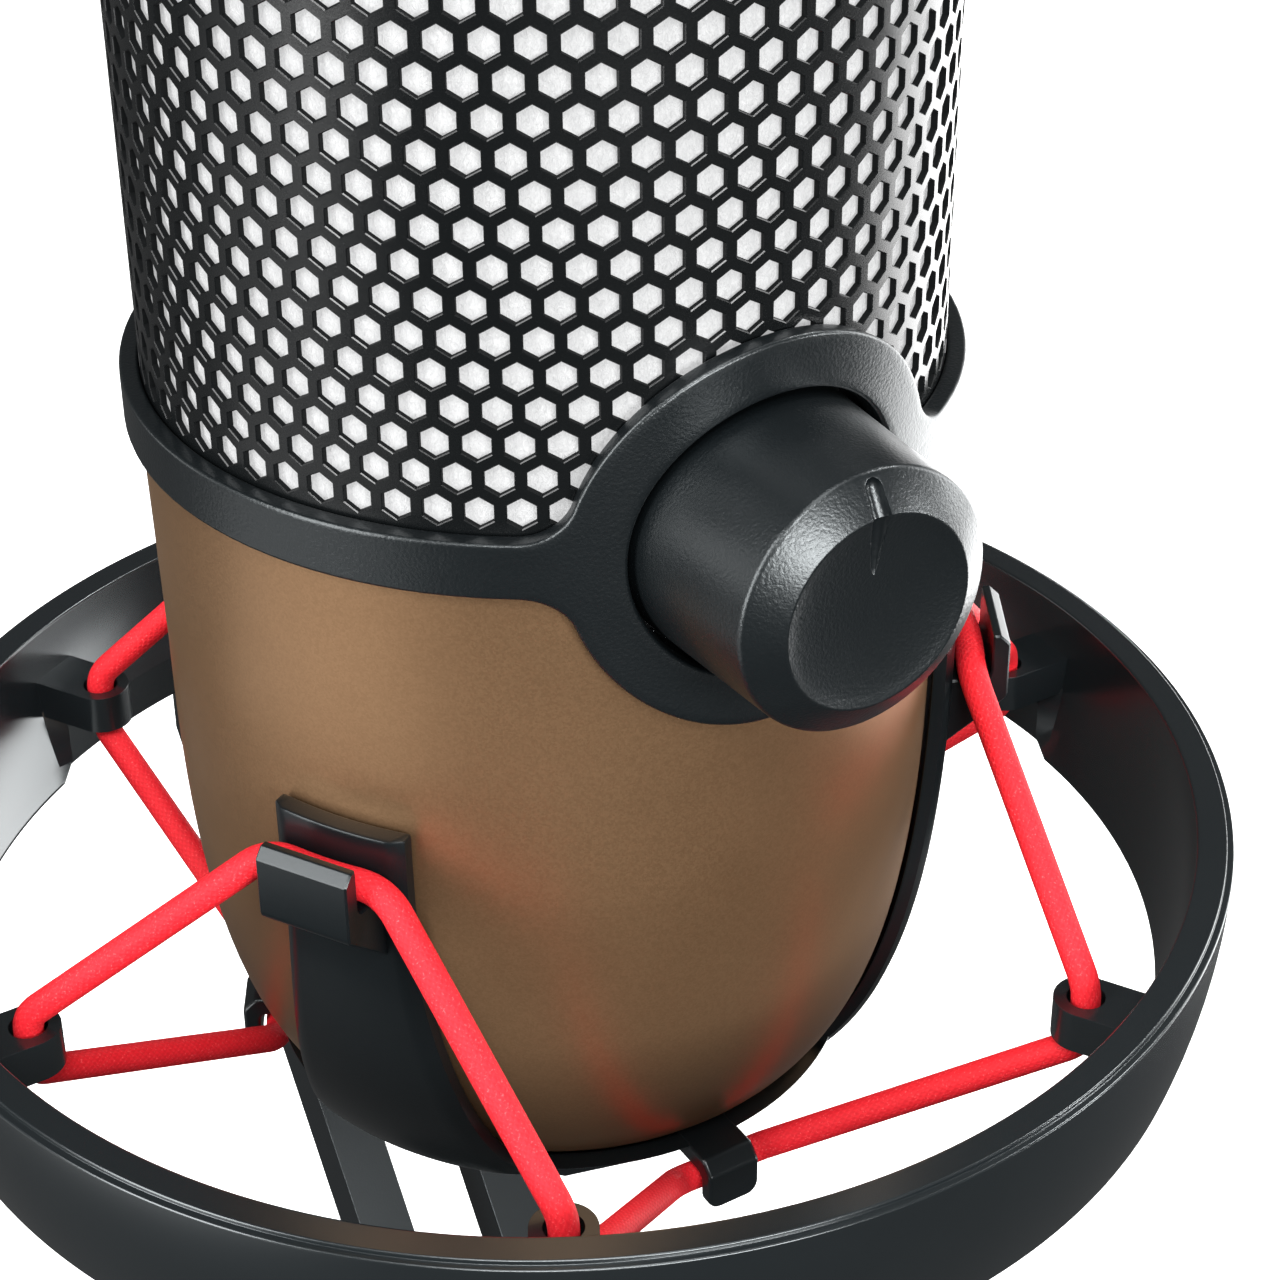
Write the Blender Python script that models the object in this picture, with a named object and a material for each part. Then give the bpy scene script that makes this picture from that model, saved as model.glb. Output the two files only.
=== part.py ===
import math

import bmesh
import bpy
from mathutils import Matrix, Vector

# Desk condenser microphone in an elastic suspension ring on a tilting stand.
# Metres, +Z up, origin under the middle of the base, control knob towards -Y.
# Heights of the ring, the cradle and the microphone are counted from the ring's rim.

# Gap kept between pieces that touch
CLEARANCE = 0.0003

# Base
BASE_RADIUS = 0.0525
BASE_HEIGHT = 0.014
BASE_SHOULDER = 0.0045
BASE_WALL = 0.0018
BASE_ROOF = 0.0035
FOOT_PAD_THICKNESS = 0.002
FOOT_PAD_INSET = 0.001
BASE_SCREW_CIRCLE = 0.034
BASE_SCREW_COUNT = 3
BASE_SCREW_BITE = 0.002

# Screws
SCREW_SHANK_RADIUS = 0.0015
SCREW_HEAD_RADIUS = 0.0028
SCREW_HEAD_HEIGHT = 0.002
SCREW_SOCKET_RADIUS = 0.0013
SCREW_SOCKET_DEPTH = 0.0011

# Tilt pivot
PIVOT_HEIGHT = 0.034
KNUCKLE_RADIUS = 0.008
KNUCKLE_WIDTH = 0.012
EAR_THICKNESS = 0.004
FLANGE_THICKNESS = 0.003
FLANGE_DEPTH = 0.024
BRACKET_SCREW_BITE = 0.008
PIVOT_BOLT_RADIUS = 0.0025
PIVOT_HEAD_RADIUS = 0.005
PIVOT_HEAD_LENGTH = 0.0034
PIVOT_SOCKET_RADIUS = 0.0022
LOCK_KNOB_RADIUS = 0.0095
LOCK_KNOB_LENGTH = 0.011
LOCK_KNOB_CROWN = 0.0025
LOCK_KNOB_NECK = 0.002
LOCK_KNOB_NECK_RADIUS = 0.006
LOCK_THREAD_LENGTH = 0.0065
LOCK_FLUTE_COUNT = 8
LOCK_FLUTE_RADIUS = 0.0022
LOCK_FLUTE_DEPTH = 0.0011

# Slotted arm
ARM_WIDTH = 0.020
ARM_THICKNESS = 0.006
ARM_SLOT_WIDTH = 0.009
ARM_SLOT_INSET = 0.010
ARM_NECK_GAP = 0.004
ARM_NECK_OVERLAP = 0.004
ARM_NECK_SHARE = 0.92
ARM_SEAT_DEPTH = 0.0016
ARM_ELBOW_DROP = 0.0261
ARM_TOP_DROP = 0.0015
ARM_SCREW_SPACING = 0.012
ARM_SCREW_COVER = 0.0016

# Suspension ring
RIM_HEIGHT = 0.145
RING_RADIUS = 0.0589
RING_WALL = 0.0032
RING_HEIGHT = 0.016
RING_LEAN = 0.0024
RING_EDGE = 0.0004
RELIEF_START = 88.0
RELIEF_END = 212.0
RELIEF_DEPTH = 0.0015
LUG_REACH = 0.009
LUG_RADIUS = 0.0027
LUG_HOLE_RADIUS = 0.0016
LUG_DROP = 0.00475
LUG_HEIGHT = 0.0038

# Elastic cord
CORD_RADIUS = 0.00125
CORD_BEND = 0.0016
CORD_BEND_LIMIT = 20.0
CORD_LEAD = 0.001
CORD_END_LEAD = 0.0012

# Microphone body
BODY_RADIUS = 0.032
BODY_FLARE = 0.0005
BODY_WALL = 0.0018
BODY_BEND_HEIGHT = 0.020
BODY_BOTTOM_DROP = 0.0245
BODY_CURVE = 2.5
BODY_FULLNESS = 0.172
BODY_MOUTH_RADIUS = 0.018

# Cradle that holds the body
CRADLE_WALL = 0.0018
CRADLE_CUP_EXTRA = 0.0003
CRADLE_CUP_LIP = 0.0040
HOOK_COUNT = 3
HOOK_PLATE_RISE = 0.0178
HOOK_PLATE_HALF_WIDTH = 0.0059
HOOK_PLATE_FOOT = 0.007
CRADLE_ARM_SPREAD = 0.0045
CRADLE_ARM_INSET = 0.00006
HOOK_WALL = 0.0015
HOOK_HALF_WIDTH = 0.0041
HOOK_LIP_HEIGHT = 0.0044
HOOK_FLOOR_RISE = 0.0128
HOOK_FLOOR_DEPTH = 0.0018
HOOK_UNDERCUT = 0.0042
HOOK_CHANNEL_SLACK = 0.0005
HOOK_ROOT = 0.0009
TAIL_HALF_WIDTH = 0.0025
TAIL_CORD_OFFSET = 0.0013
TAIL_CORD_DROP = 0.0247
TAIL_BRIDGE = 0.0018
TAIL_LIP = 0.0015
TAIL_LIP_DROP = 0.0016
NUT_RADIUS = 0.0165
NUT_HEIGHT = 0.0046
NUT_SIDES = 12

# Bottom cap and its inlet
CAP_PLATE = 0.0028
BOSS_RADIUS = 0.0108
BOSS_DROP = 0.0094
INLET_RADIUS = 0.0078
INLET_DEPTH = 0.0062
SOCKET_WIDTH = 0.009
SOCKET_DEPTH = 0.0033
SOCKET_HEIGHT = 0.0088
SOCKET_WALL = 0.0006
SOCKET_POCKET = 0.005
SOCKET_BOARD_RADIUS = 0.0145
BOARD_THICKNESS = 0.0016

# Collar round the middle
COLLAR_HEIGHT = 0.00455
COLLAR_CENTRE = 0.0426
COLLAR_WALL = 0.0008
SURROUND_RADIUS = 0.0159
SURROUND_FILLET = 0.004

# Control knob, distances along its axis counted from the microphone's axis
KNOB_RADIUS = 0.01105
KNOB_FRONT_RADIUS = 0.01045
KNOB_GAP = 0.00055
KNOB_REACH = 0.0105
KNOB_CHAMFER = 0.0018
DISH_RADIUS = 0.0077
DISH_DEPTH = 0.0009
KNOB_WALL = 0.0018
KNOB_BOSS_RADIUS = 0.0055
KNOB_CORE = 0.0022
POINTER_RADIUS = 0.0008
POINTER_DEPTH = 0.0007
POINTER_INSET = 0.0008
SHAFT_RADIUS = 0.003
SHAFT_TAIL = 0.0035
BUSHING_WALL = 0.0010
BUSHING_LENGTH = 0.0036
CONTROL_SIZE = 0.017
CONTROL_DEPTH = 0.008
CONTROL_NUT_RADIUS = 0.0064
CONTROL_NUT_HEIGHT = 0.002

# Grille, foam and top cap
GRILLE_TOP = 0.121
GRILLE_WALL = 0.0008
FOAM_WALL = 0.0018
TOP_CAP_HEIGHT = 0.0055
TOP_CAP_ROUND = 0.0045
TOP_CAP_PLUG = 0.004
TOP_CAP_WALL = 0.002

# Inner frame and main board
DECK_THICKNESS = 0.003
LOWER_DECK = 0.024
UPPER_DECK_CLEAR = 0.0025
FRONT_PLATE_THICKNESS = 0.0025
FRONT_PLATE_HALF_WIDTH = 0.0112
BACK_WALL_HALF_WIDTH = 0.010
BACK_WALL_REACH = 0.025
MAIN_BOARD_INSET = 0.0018
POST_RADIUS = 0.003
POST_LENGTH = 0.0055
POST_CIRCLE = 0.020
POST_COUNT = 3
BOARD_SCREW_BITE = 0.003

# Capsule
CAPSULE_HEIGHT = 0.086
CAPSULE_RADIUS = 0.0135
CAPSULE_DEPTH = 0.011
CAPSULE_PLATE = 0.0012
CAPSULE_PLATE_RADIUS = 0.0115
HOLDER_WALL = 0.002
HOLDER_DEPTH = 0.006
MAST_RADIUS = 0.004

# Smoothness of the round pieces
FINE_STEPS = 60
BODY_STEPS = 48
SMALL_STEPS = 20
SCREW_STEPS = 10
BODY_ROWS = 7
SHARP_ANGLE = math.radians(32)

# Heights, radii and reaches that follow from the sizes above
BODY_SPAN = BODY_BEND_HEIGHT + BODY_BOTTOM_DROP
GRILLE_RADIUS = BODY_RADIUS
SHELL_TOP = COLLAR_CENTRE - CLEARANCE
COLLAR_INNER = BODY_RADIUS + BODY_FLARE + CLEARANCE
COLLAR_RADIUS = COLLAR_INNER + COLLAR_WALL
KNOB_HOLE_RADIUS = KNOB_RADIUS + KNOB_GAP
POCKET_RADIUS = KNOB_HOLE_RADIUS + CLEARANCE
FOAM_RADIUS = GRILLE_RADIUS - GRILLE_WALL - CLEARANCE
FRAME_RADIUS = FOAM_RADIUS - FOAM_WALL - CLEARANCE
PLATE_FRONT = math.sqrt((FRAME_RADIUS - CLEARANCE) ** 2 - FRONT_PLATE_HALF_WIDTH ** 2)
UPPER_DECK = COLLAR_CENTRE + POCKET_RADIUS + UPPER_DECK_CLEAR
UPPER_DECK_TOP = UPPER_DECK + DECK_THICKNESS
CONTROL_FRONT = PLATE_FRONT - FRONT_PLATE_THICKNESS - CLEARANCE
CONTROL_NUT_BACK = PLATE_FRONT + CLEARANCE
BUSHING_BORE = SHAFT_RADIUS + CLEARANCE
BUSHING_RADIUS = BUSHING_BORE + BUSHING_WALL
BUSHING_FRONT = PLATE_FRONT + BUSHING_LENGTH
KNOB_BACK = CONTROL_NUT_BACK + CONTROL_NUT_HEIGHT / 2
KNOB_EDGE = COLLAR_RADIUS + KNOB_REACH
KNOB_FACE = KNOB_EDGE + KNOB_CHAMFER
SHAFT_FRONT = KNOB_FACE - DISH_DEPTH - KNOB_CORE - CLEARANCE
PLATE_OUTER = BODY_RADIUS + CLEARANCE + CRADLE_WALL
HOOK_CORD_RADIUS = PLATE_OUTER + CORD_RADIUS + HOOK_CHANNEL_SLACK / 2
HOOK_CORD_HEIGHT = HOOK_FLOOR_RISE + CLEARANCE + CORD_RADIUS
HOOK_LIP_INNER = PLATE_OUTER + 2 * CORD_RADIUS + HOOK_CHANNEL_SLACK
HOOK_LIP_OUTER = HOOK_LIP_INNER + HOOK_WALL
LUG_CIRCLE = RING_RADIUS - LUG_REACH
LUG_FOOT = LUG_DROP + LUG_HEIGHT
LUG_SPACING = 180.0 / HOOK_COUNT
HOOK_SPACING = 360.0 / HOOK_COUNT
CORE_BOTTOM = FOOT_PAD_THICKNESS + CLEARANCE
ROOF_BOTTOM = BASE_HEIGHT - BASE_ROOF
SCREW_HOLE_RADIUS = SCREW_SHANK_RADIUS + CLEARANCE
HEAD_HOLE_RADIUS = SCREW_HEAD_RADIUS + CLEARANCE
FLANGE_BOTTOM = BASE_HEIGHT + CLEARANCE
FLANGE_TOP = FLANGE_BOTTOM + FLANGE_THICKNESS
PIVOT_HOLE_RADIUS = PIVOT_BOLT_RADIUS + CLEARANCE
EAR_INNER = KNUCKLE_WIDTH / 2 + CLEARANCE
EAR_OUTER = EAR_INNER + EAR_THICKNESS
BRACKET_SCREW_X = EAR_OUTER + SCREW_HEAD_RADIUS + 2 * CLEARANCE
ARM_REACH = RING_RADIUS + CLEARANCE + ARM_THICKNESS / 2 - ARM_SEAT_DEPTH
RIM_RISE = RIM_HEIGHT - PIVOT_HEIGHT


def finish(name, colour, roughness, metallic=0.0):
    made = bpy.data.materials.new(name)
    made.use_nodes = True
    shader = made.node_tree.nodes["Principled BSDF"]
    shader.inputs["Base Color"].default_value = (*colour, 1.0)
    shader.inputs["Roughness"].default_value = roughness
    shader.inputs["Metallic"].default_value = metallic
    return made


def empty(name, parent=None, location=(0, 0, 0), rotation=(0, 0, 0)):
    made = bpy.data.objects.new(name, None)
    bpy.context.collection.objects.link(made)
    made.parent = parent
    made.location = location
    made.rotation_euler = rotation
    return made


def add_piece(name, shape, look, parent=None, location=(0, 0, 0), rotation=(0, 0, 0)):
    bmesh.ops.recalc_face_normals(shape, faces=shape.faces)
    mesh = bpy.data.meshes.new(name)
    shape.to_mesh(mesh)
    shape.free()
    mesh.shade_smooth()
    mesh.set_sharp_from_angle(angle=SHARP_ANGLE)
    if look:
        mesh.materials.append(look)
    made = bpy.data.objects.new(name, mesh)
    bpy.context.collection.objects.link(made)
    made.parent = parent
    made.location = location
    made.rotation_euler = rotation
    return made


def boolean(piece, shape, operation):
    # The tool shares the piece's own frame
    tool_name = f"{piece.name}_tool_{len(piece.modifiers) + 1}"
    tool = add_piece(tool_name, shape, None, piece.parent, piece.location, piece.rotation_euler)
    tool.hide_render = True
    tool.display_type = "WIRE"
    step = piece.modifiers.new(tool_name, "BOOLEAN")
    step.operation = operation
    step.solver = "EXACT"
    step.object = tool


def cut(piece, shape):
    boolean(piece, shape, "DIFFERENCE")


def join(piece, shape):
    boolean(piece, shape, "UNION")


def polar(radius, angle, height):
    # Angle in degrees from the front, positive towards +X
    turn = math.radians(angle)
    return Vector((radius * math.sin(turn), -radius * math.cos(turn), height))


def turned(profile, steps):
    # A profile that starts and ends on the axis stays open there, any other closes on itself
    shape = bmesh.new()
    points = [shape.verts.new((radius, 0, height)) for radius, height in profile]
    pairs = list(zip(points, points[1:]))
    if profile[0][0] != 0:
        pairs.append((points[-1], points[0]))
    edges = [shape.edges.new(pair) for pair in pairs]
    bmesh.ops.spin(shape, geom=points + edges, cent=(0, 0, 0), axis=(0, 0, 1),
                   angle=2 * math.pi, steps=steps, use_merge=True)
    bmesh.ops.remove_doubles(shape, verts=shape.verts, dist=1e-7)
    return shape


def cylinder(radius, low, high, steps=SMALL_STEPS):
    return turned([(0, low), (radius, low), (radius, high), (0, high)], steps)


def loft(loops, closed=False):
    # Skin over a row of loops with equal numbers of points
    shape = bmesh.new()
    rows = [[shape.verts.new(point) for point in loop] for loop in loops]
    count = len(rows[0])
    links = list(zip(rows, rows[1:]))
    if closed:
        links.append((rows[-1], rows[0]))
    else:
        shape.faces.new(rows[0])
        shape.faces.new(rows[-1])
    for first, second in links:
        for index in range(count):
            after = (index + 1) % count
            shape.faces.new((first[index], first[after], second[after], second[index]))
    return shape


def prism(outline, low, high):
    return loft([[(x, y, low) for x, y in outline], [(x, y, high) for x, y in outline]])


def slab(outline, half_width):
    # Outline in the upright plane of the arm, as wide to the left as to the right
    return loft([[(-half_width, y, z) for y, z in outline], [(half_width, y, z) for y, z in outline]])


def block(low, high):
    outline = [(low[0], low[1]), (high[0], low[1]), (high[0], high[1]), (low[0], high[1])]
    return prism(outline, low[2], high[2])


def moved(shape, matrix):
    bmesh.ops.transform(shape, matrix=matrix, verts=shape.verts)
    return shape


def shifted(shape, x=0.0, y=0.0, z=0.0):
    return moved(shape, Matrix.Translation((x, y, z)))


def around_axis(shape, angle):
    return moved(shape, Matrix.Rotation(math.radians(angle), 4, "Z"))


def along_x(shape):
    return moved(shape, Matrix.Rotation(math.pi / 2, 4, "Y"))


def towards_front(shape):
    return moved(shape, Matrix.Rotation(math.pi / 2, 4, "X"))


def sector(outline, half_width, angle, steps):
    # Radius and height outline swept about the microphone's axis
    outer = max(radius for radius, height in outline)
    half_angle = math.degrees(half_width / outer)
    turns = [angle + half_angle * (2 * index / steps - 1) for index in range(steps + 1)]
    return loft([[polar(radius, turn, height) for radius, height in outline] for turn in turns])


def body_radius(height):
    if height >= BODY_BEND_HEIGHT:
        rise = (height - BODY_BEND_HEIGHT) / (SHELL_TOP - BODY_BEND_HEIGHT)
        return BODY_RADIUS + BODY_FLARE * rise
    depth = (BODY_BEND_HEIGHT - height) / BODY_SPAN
    return BODY_RADIUS * (1 - depth ** BODY_CURVE) ** BODY_FULLNESS


def body_height(radius):
    # Height at which the lower curve of the body has this radius
    depth = (1 - (radius / BODY_RADIUS) ** (1 / BODY_FULLNESS)) ** (1 / BODY_CURVE)
    return BODY_BEND_HEIGHT - depth * BODY_SPAN


def body_offset(height, distance):
    # Point of the body's outline pushed out square to its surface
    step = 1e-6
    slope = (body_radius(height + step) - body_radius(height - step)) / (2 * step)
    length = math.hypot(1, slope)
    return (body_radius(height) + distance / length, height - distance * slope / length)


def curve_heights(top, bottom, rows):
    # Closer together towards the bottom, where the outline turns in
    return [top + (bottom - top) * math.sin(0.5 * math.pi * row / rows) for row in range(rows + 1)]


def screw(name, look, length, parent=None, location=(0, 0, 0), rotation=(0, 0, 0)):
    # Head above the local origin, shank below it
    socket_floor = SCREW_HEAD_HEIGHT - SCREW_SOCKET_DEPTH
    profile = [(0, socket_floor), (SCREW_SOCKET_RADIUS, socket_floor),
               (SCREW_SOCKET_RADIUS, SCREW_HEAD_HEIGHT), (SCREW_HEAD_RADIUS, SCREW_HEAD_HEIGHT),
               (SCREW_HEAD_RADIUS, 0), (SCREW_SHANK_RADIUS, 0),
               (SCREW_SHANK_RADIUS, -length), (0, -length)]
    return add_piece(name, turned(profile, SCREW_STEPS), look, parent, location, rotation)


def build_base(looks):
    inner = BASE_RADIUS - BASE_WALL
    core_radius = inner - CLEARANCE
    core_top = ROOF_BOTTOM - CLEARANCE
    bevel = BASE_SHOULDER * (1 - math.sqrt(0.5))
    cover = add_piece("base_cover", turned([
        (0, BASE_HEIGHT), (BASE_RADIUS - BASE_SHOULDER, BASE_HEIGHT),
        (BASE_RADIUS - bevel, BASE_HEIGHT - bevel), (BASE_RADIUS, BASE_HEIGHT - BASE_SHOULDER),
        (BASE_RADIUS, CORE_BOTTOM), (inner, CORE_BOTTOM), (inner, ROOF_BOTTOM - BASE_SHOULDER),
        (inner - BASE_SHOULDER, ROOF_BOTTOM), (0, ROOF_BOTTOM)], FINE_STEPS), looks["base_black"])
    weight = add_piece("base_weight", turned([
        (0, core_top), (core_radius - BASE_SHOULDER, core_top),
        (core_radius, core_top - BASE_SHOULDER), (core_radius, CORE_BOTTOM),
        (0, CORE_BOTTOM)], FINE_STEPS), looks["steel"])
    pad = cylinder(BASE_RADIUS - FOOT_PAD_INSET, 0, FOOT_PAD_THICKNESS, FINE_STEPS)
    add_piece("base_foot_pad", pad, looks["rubber"])

    head_seat = CORE_BOTTOM + CLEARANCE + SCREW_HEAD_HEIGHT
    tip = ROOF_BOTTOM + BASE_SCREW_BITE
    for index in range(BASE_SCREW_COUNT):
        spot = polar(BASE_SCREW_CIRCLE, 180 + 360 * index / BASE_SCREW_COUNT, 0)
        place = Matrix.Translation(spot)
        cut(weight, moved(cylinder(SCREW_HOLE_RADIUS, 0, BASE_HEIGHT, SCREW_STEPS), place))
        cut(weight, moved(cylinder(HEAD_HOLE_RADIUS, 0, head_seat + CLEARANCE), place))
        cut(cover, moved(cylinder(SCREW_HOLE_RADIUS, 0, tip + CLEARANCE, SCREW_STEPS), place))
        screw(f"base_screw_{index + 1}", looks["zinc"], tip - head_seat, None,
              (spot.x, spot.y, head_seat), (math.pi, 0, 0))
    return cover, weight


def build_pivot(looks, cover, weight):
    flange_half_width = BRACKET_SCREW_X + SCREW_HEAD_RADIUS + CLEARANCE
    bracket = add_piece("pivot_bracket", block(
        (-flange_half_width, -FLANGE_DEPTH / 2, FLANGE_BOTTOM),
        (flange_half_width, FLANGE_DEPTH / 2, FLANGE_TOP)), looks["base_black"])
    ear = [(-KNUCKLE_RADIUS, FLANGE_BOTTOM + FLANGE_THICKNESS / 2),
           (KNUCKLE_RADIUS, FLANGE_BOTTOM + FLANGE_THICKNESS / 2)]
    arc_steps = 12
    for index in range(arc_steps + 1):
        angle = math.pi * index / arc_steps
        ear.append((KNUCKLE_RADIUS * math.cos(angle), PIVOT_HEIGHT + KNUCKLE_RADIUS * math.sin(angle)))
    ear_middle = (EAR_INNER + EAR_OUTER) / 2
    for side in (-1, 1):
        join(bracket, shifted(slab(ear, EAR_THICKNESS / 2), x=side * ear_middle))
    reach = EAR_OUTER + CLEARANCE
    cut(bracket, shifted(along_x(cylinder(PIVOT_HOLE_RADIUS, -reach, reach)), z=PIVOT_HEIGHT))

    head_seat = FLANGE_TOP + CLEARANCE
    tip = head_seat - BRACKET_SCREW_BITE
    for index, x in enumerate((-BRACKET_SCREW_X, BRACKET_SCREW_X), 1):
        for piece in (bracket, cover, weight):
            hole = cylinder(SCREW_HOLE_RADIUS, tip - CLEARANCE, head_seat, SCREW_STEPS)
            cut(piece, shifted(hole, x=x))
        screw(f"bracket_screw_{index}", looks["zinc"], BRACKET_SCREW_BITE, None, (x, 0, head_seat))

    lock_axis = empty("lock_axis", None, (0, 0, PIVOT_HEIGHT), (0, math.pi / 2, 0))
    thread_end = reach + LOCK_THREAD_LENGTH
    head_end = -reach - PIVOT_HEAD_LENGTH
    socket_floor = head_end + PIVOT_HEAD_LENGTH / 2
    add_piece("pivot_bolt", turned([
        (0, socket_floor), (PIVOT_SOCKET_RADIUS, socket_floor), (PIVOT_SOCKET_RADIUS, head_end),
        (PIVOT_HEAD_RADIUS, head_end), (PIVOT_HEAD_RADIUS, -reach), (PIVOT_BOLT_RADIUS, -reach),
        (PIVOT_BOLT_RADIUS, thread_end), (0, thread_end)], SMALL_STEPS), looks["steel"], lock_axis)

    bore_end = thread_end + CLEARANCE
    neck_end = reach + LOCK_KNOB_NECK
    knob_end = reach + LOCK_KNOB_LENGTH
    crown = LOCK_KNOB_CROWN
    lock_knob = add_piece("tilt_lock_knob", turned([
        (0, bore_end), (PIVOT_HOLE_RADIUS, bore_end), (PIVOT_HOLE_RADIUS, reach),
        (LOCK_KNOB_NECK_RADIUS, reach), (LOCK_KNOB_NECK_RADIUS, neck_end),
        (LOCK_KNOB_RADIUS, neck_end), (LOCK_KNOB_RADIUS, knob_end - crown),
        (LOCK_KNOB_RADIUS - crown / 2, knob_end - crown / 3), (LOCK_KNOB_RADIUS - 2 * crown, knob_end),
        (0, knob_end)], 2 * SMALL_STEPS), looks["base_black"], lock_axis)
    flute_circle = LOCK_KNOB_RADIUS - LOCK_FLUTE_DEPTH + LOCK_FLUTE_RADIUS
    for index in range(LOCK_FLUTE_COUNT):
        flute = cylinder(LOCK_FLUTE_RADIUS, reach, knob_end + CLEARANCE)
        cut(lock_knob, around_axis(shifted(flute, x=flute_circle), 360 * index / LOCK_FLUTE_COUNT))


def ring_outer(height):
    return RING_RADIUS - RING_LEAN * (height / RING_HEIGHT) ** 2


def ring_side(grow):
    # Side of the leaning wall from the rim down, pushed out by the given amount
    rows = 4
    heights = [-RING_HEIGHT * row / rows for row in range(rows + 1)]
    return [(ring_outer(height) + grow, height) for height in heights]


def build_ring(looks, ring_centre):
    outer = ring_side(0)
    inner = list(reversed(ring_side(-RING_WALL)))
    rim = [(RING_RADIUS - RING_EDGE, 0), (RING_RADIUS, -RING_EDGE)]
    foot = [(outer[-1][0], RING_EDGE - RING_HEIGHT), (outer[-1][0] - RING_EDGE, -RING_HEIGHT)]
    profile = rim + outer[1:-1] + foot + inner
    ring = add_piece("suspension_ring", turned(profile, FINE_STEPS), looks["ring_charcoal"], ring_centre)

    root = RING_RADIUS - RING_WALL / 2
    arc_steps = 10
    lug = [(LUG_RADIUS, -root), (-LUG_RADIUS, -root)]
    for index in range(arc_steps + 1):
        angle = math.pi * (1 - index / arc_steps)
        lug.append((LUG_RADIUS * math.cos(angle), LUG_RADIUS * math.sin(angle) - LUG_CIRCLE))
    for index in range(2 * HOOK_COUNT):
        angle = LUG_SPACING * (index + 0.5)
        join(ring, around_axis(prism(lug, -LUG_FOOT, -LUG_DROP), angle))
        hole = cylinder(LUG_HOLE_RADIUS, -LUG_FOOT - CLEARANCE, CLEARANCE - LUG_DROP)
        cut(ring, around_axis(shifted(hole, y=-LUG_CIRCLE), angle))

    half_angle = (RELIEF_END - RELIEF_START) / 2
    relief_outer = RING_RADIUS + RING_WALL
    relief = [(relief_outer - 3 * RING_WALL, -2 * RING_HEIGHT), (relief_outer, -2 * RING_HEIGHT),
              (relief_outer, RELIEF_DEPTH - RING_HEIGHT),
              (relief_outer - 3 * RING_WALL, RELIEF_DEPTH - RING_HEIGHT)]
    cut(ring, sector(relief, math.radians(half_angle) * relief_outer, RELIEF_START + half_angle, 24))
    return ring


def build_arm(looks, tilt_axis, ring_centre, ring):
    half = ARM_THICKNESS / 2
    elbow = Vector((ARM_REACH, RIM_RISE - ARM_ELBOW_DROP))
    along = elbow.normalized()
    across = Vector((-along.y, along.x))
    start = KNUCKLE_RADIUS + ARM_NECK_GAP
    top = RIM_RISE - ARM_TOP_DROP

    def mitre(side):
        # Corner where the sloping face meets the upright face on one side
        reach = (ARM_REACH - side * half - side * half * across.x) / along.x
        return along * reach + across * side * half

    outline = [along * start + across * half, mitre(1), Vector((ARM_REACH - half, top)),
               Vector((ARM_REACH + half, top)), mitre(-1), along * start - across * half]
    arm = add_piece("stand_arm", slab(outline, ARM_WIDTH / 2), looks["base_black"], tilt_axis)

    knuckle_half = KNUCKLE_WIDTH / 2
    join(arm, along_x(cylinder(KNUCKLE_RADIUS, -knuckle_half, knuckle_half, 2 * SMALL_STEPS)))
    neck_end = start + ARM_NECK_OVERLAP
    neck_half = half * ARM_NECK_SHARE
    neck = [across * neck_half, along * neck_end + across * neck_half,
            along * neck_end - across * neck_half, across * -neck_half]
    join(arm, slab(neck, knuckle_half * ARM_NECK_SHARE))
    cut(arm, along_x(cylinder(PIVOT_HOLE_RADIUS, -ARM_WIDTH, ARM_WIDTH)))

    slot_half = ARM_SLOT_WIDTH / 2
    slot_ends = (start + ARM_SLOT_INSET, elbow.length - ARM_SLOT_INSET)
    slot = []
    arc_steps = 8
    for centre, first in ((slot_ends[1] - slot_half, 0.0), (slot_ends[0] + slot_half, math.pi)):
        for index in range(arc_steps + 1):
            angle = first + math.pi * index / arc_steps
            slot.append((slot_half * math.cos(angle), centre + slot_half * math.sin(angle)))
    lean = Matrix.Rotation(-math.atan2(along.x, along.y), 4, "X")
    stand_up = Matrix.Rotation(math.pi / 2, 4, "X")
    cut(arm, moved(prism(slot, -ARM_THICKNESS, ARM_THICKNESS), lean @ stand_up))

    seat = ring_side(CLEARANCE)
    below = seat[-1][0]
    hollow = [(0, RING_HEIGHT), (seat[0][0], RING_HEIGHT)] + seat
    hollow += [(below, -RING_HEIGHT - CLEARANCE), (0, -RING_HEIGHT - CLEARANCE)]
    cut(arm, shifted(turned(hollow, 2 * FINE_STEPS), z=RIM_RISE))

    screw_height = -RING_HEIGHT / 2
    wall_inner = ring_outer(screw_height) - RING_WALL
    head_seat = wall_inner + RING_WALL / 4
    tip = ARM_REACH + half - ARM_SCREW_COVER
    for index, x in enumerate((-ARM_SCREW_SPACING / 2, ARM_SCREW_SPACING / 2), 1):
        hole = towards_front(cylinder(SCREW_HOLE_RADIUS, -tip - CLEARANCE, -LUG_CIRCLE, SCREW_STEPS))
        cut(ring, shifted(hole, x=x, z=screw_height))
        seat_hole = towards_front(cylinder(HEAD_HOLE_RADIUS, -head_seat, -LUG_CIRCLE))
        cut(ring, shifted(seat_hole, x=x, z=screw_height))
        hole = towards_front(cylinder(SCREW_HOLE_RADIUS, -tip - CLEARANCE, -LUG_CIRCLE, SCREW_STEPS))
        cut(arm, shifted(hole, x=x, z=RIM_RISE + screw_height))
        screw(f"arm_screw_{index}", looks["zinc"], tip - head_seat + CLEARANCE, ring_centre,
              (x, head_seat - CLEARANCE, screw_height), (math.pi / 2, 0, 0))


def tail_cord_radius():
    # The lower stretch runs just outside the lip of the cup
    return body_offset(CRADLE_CUP_LIP - BODY_BOTTOM_DROP, CLEARANCE)[0] + TAIL_CORD_OFFSET


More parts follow.
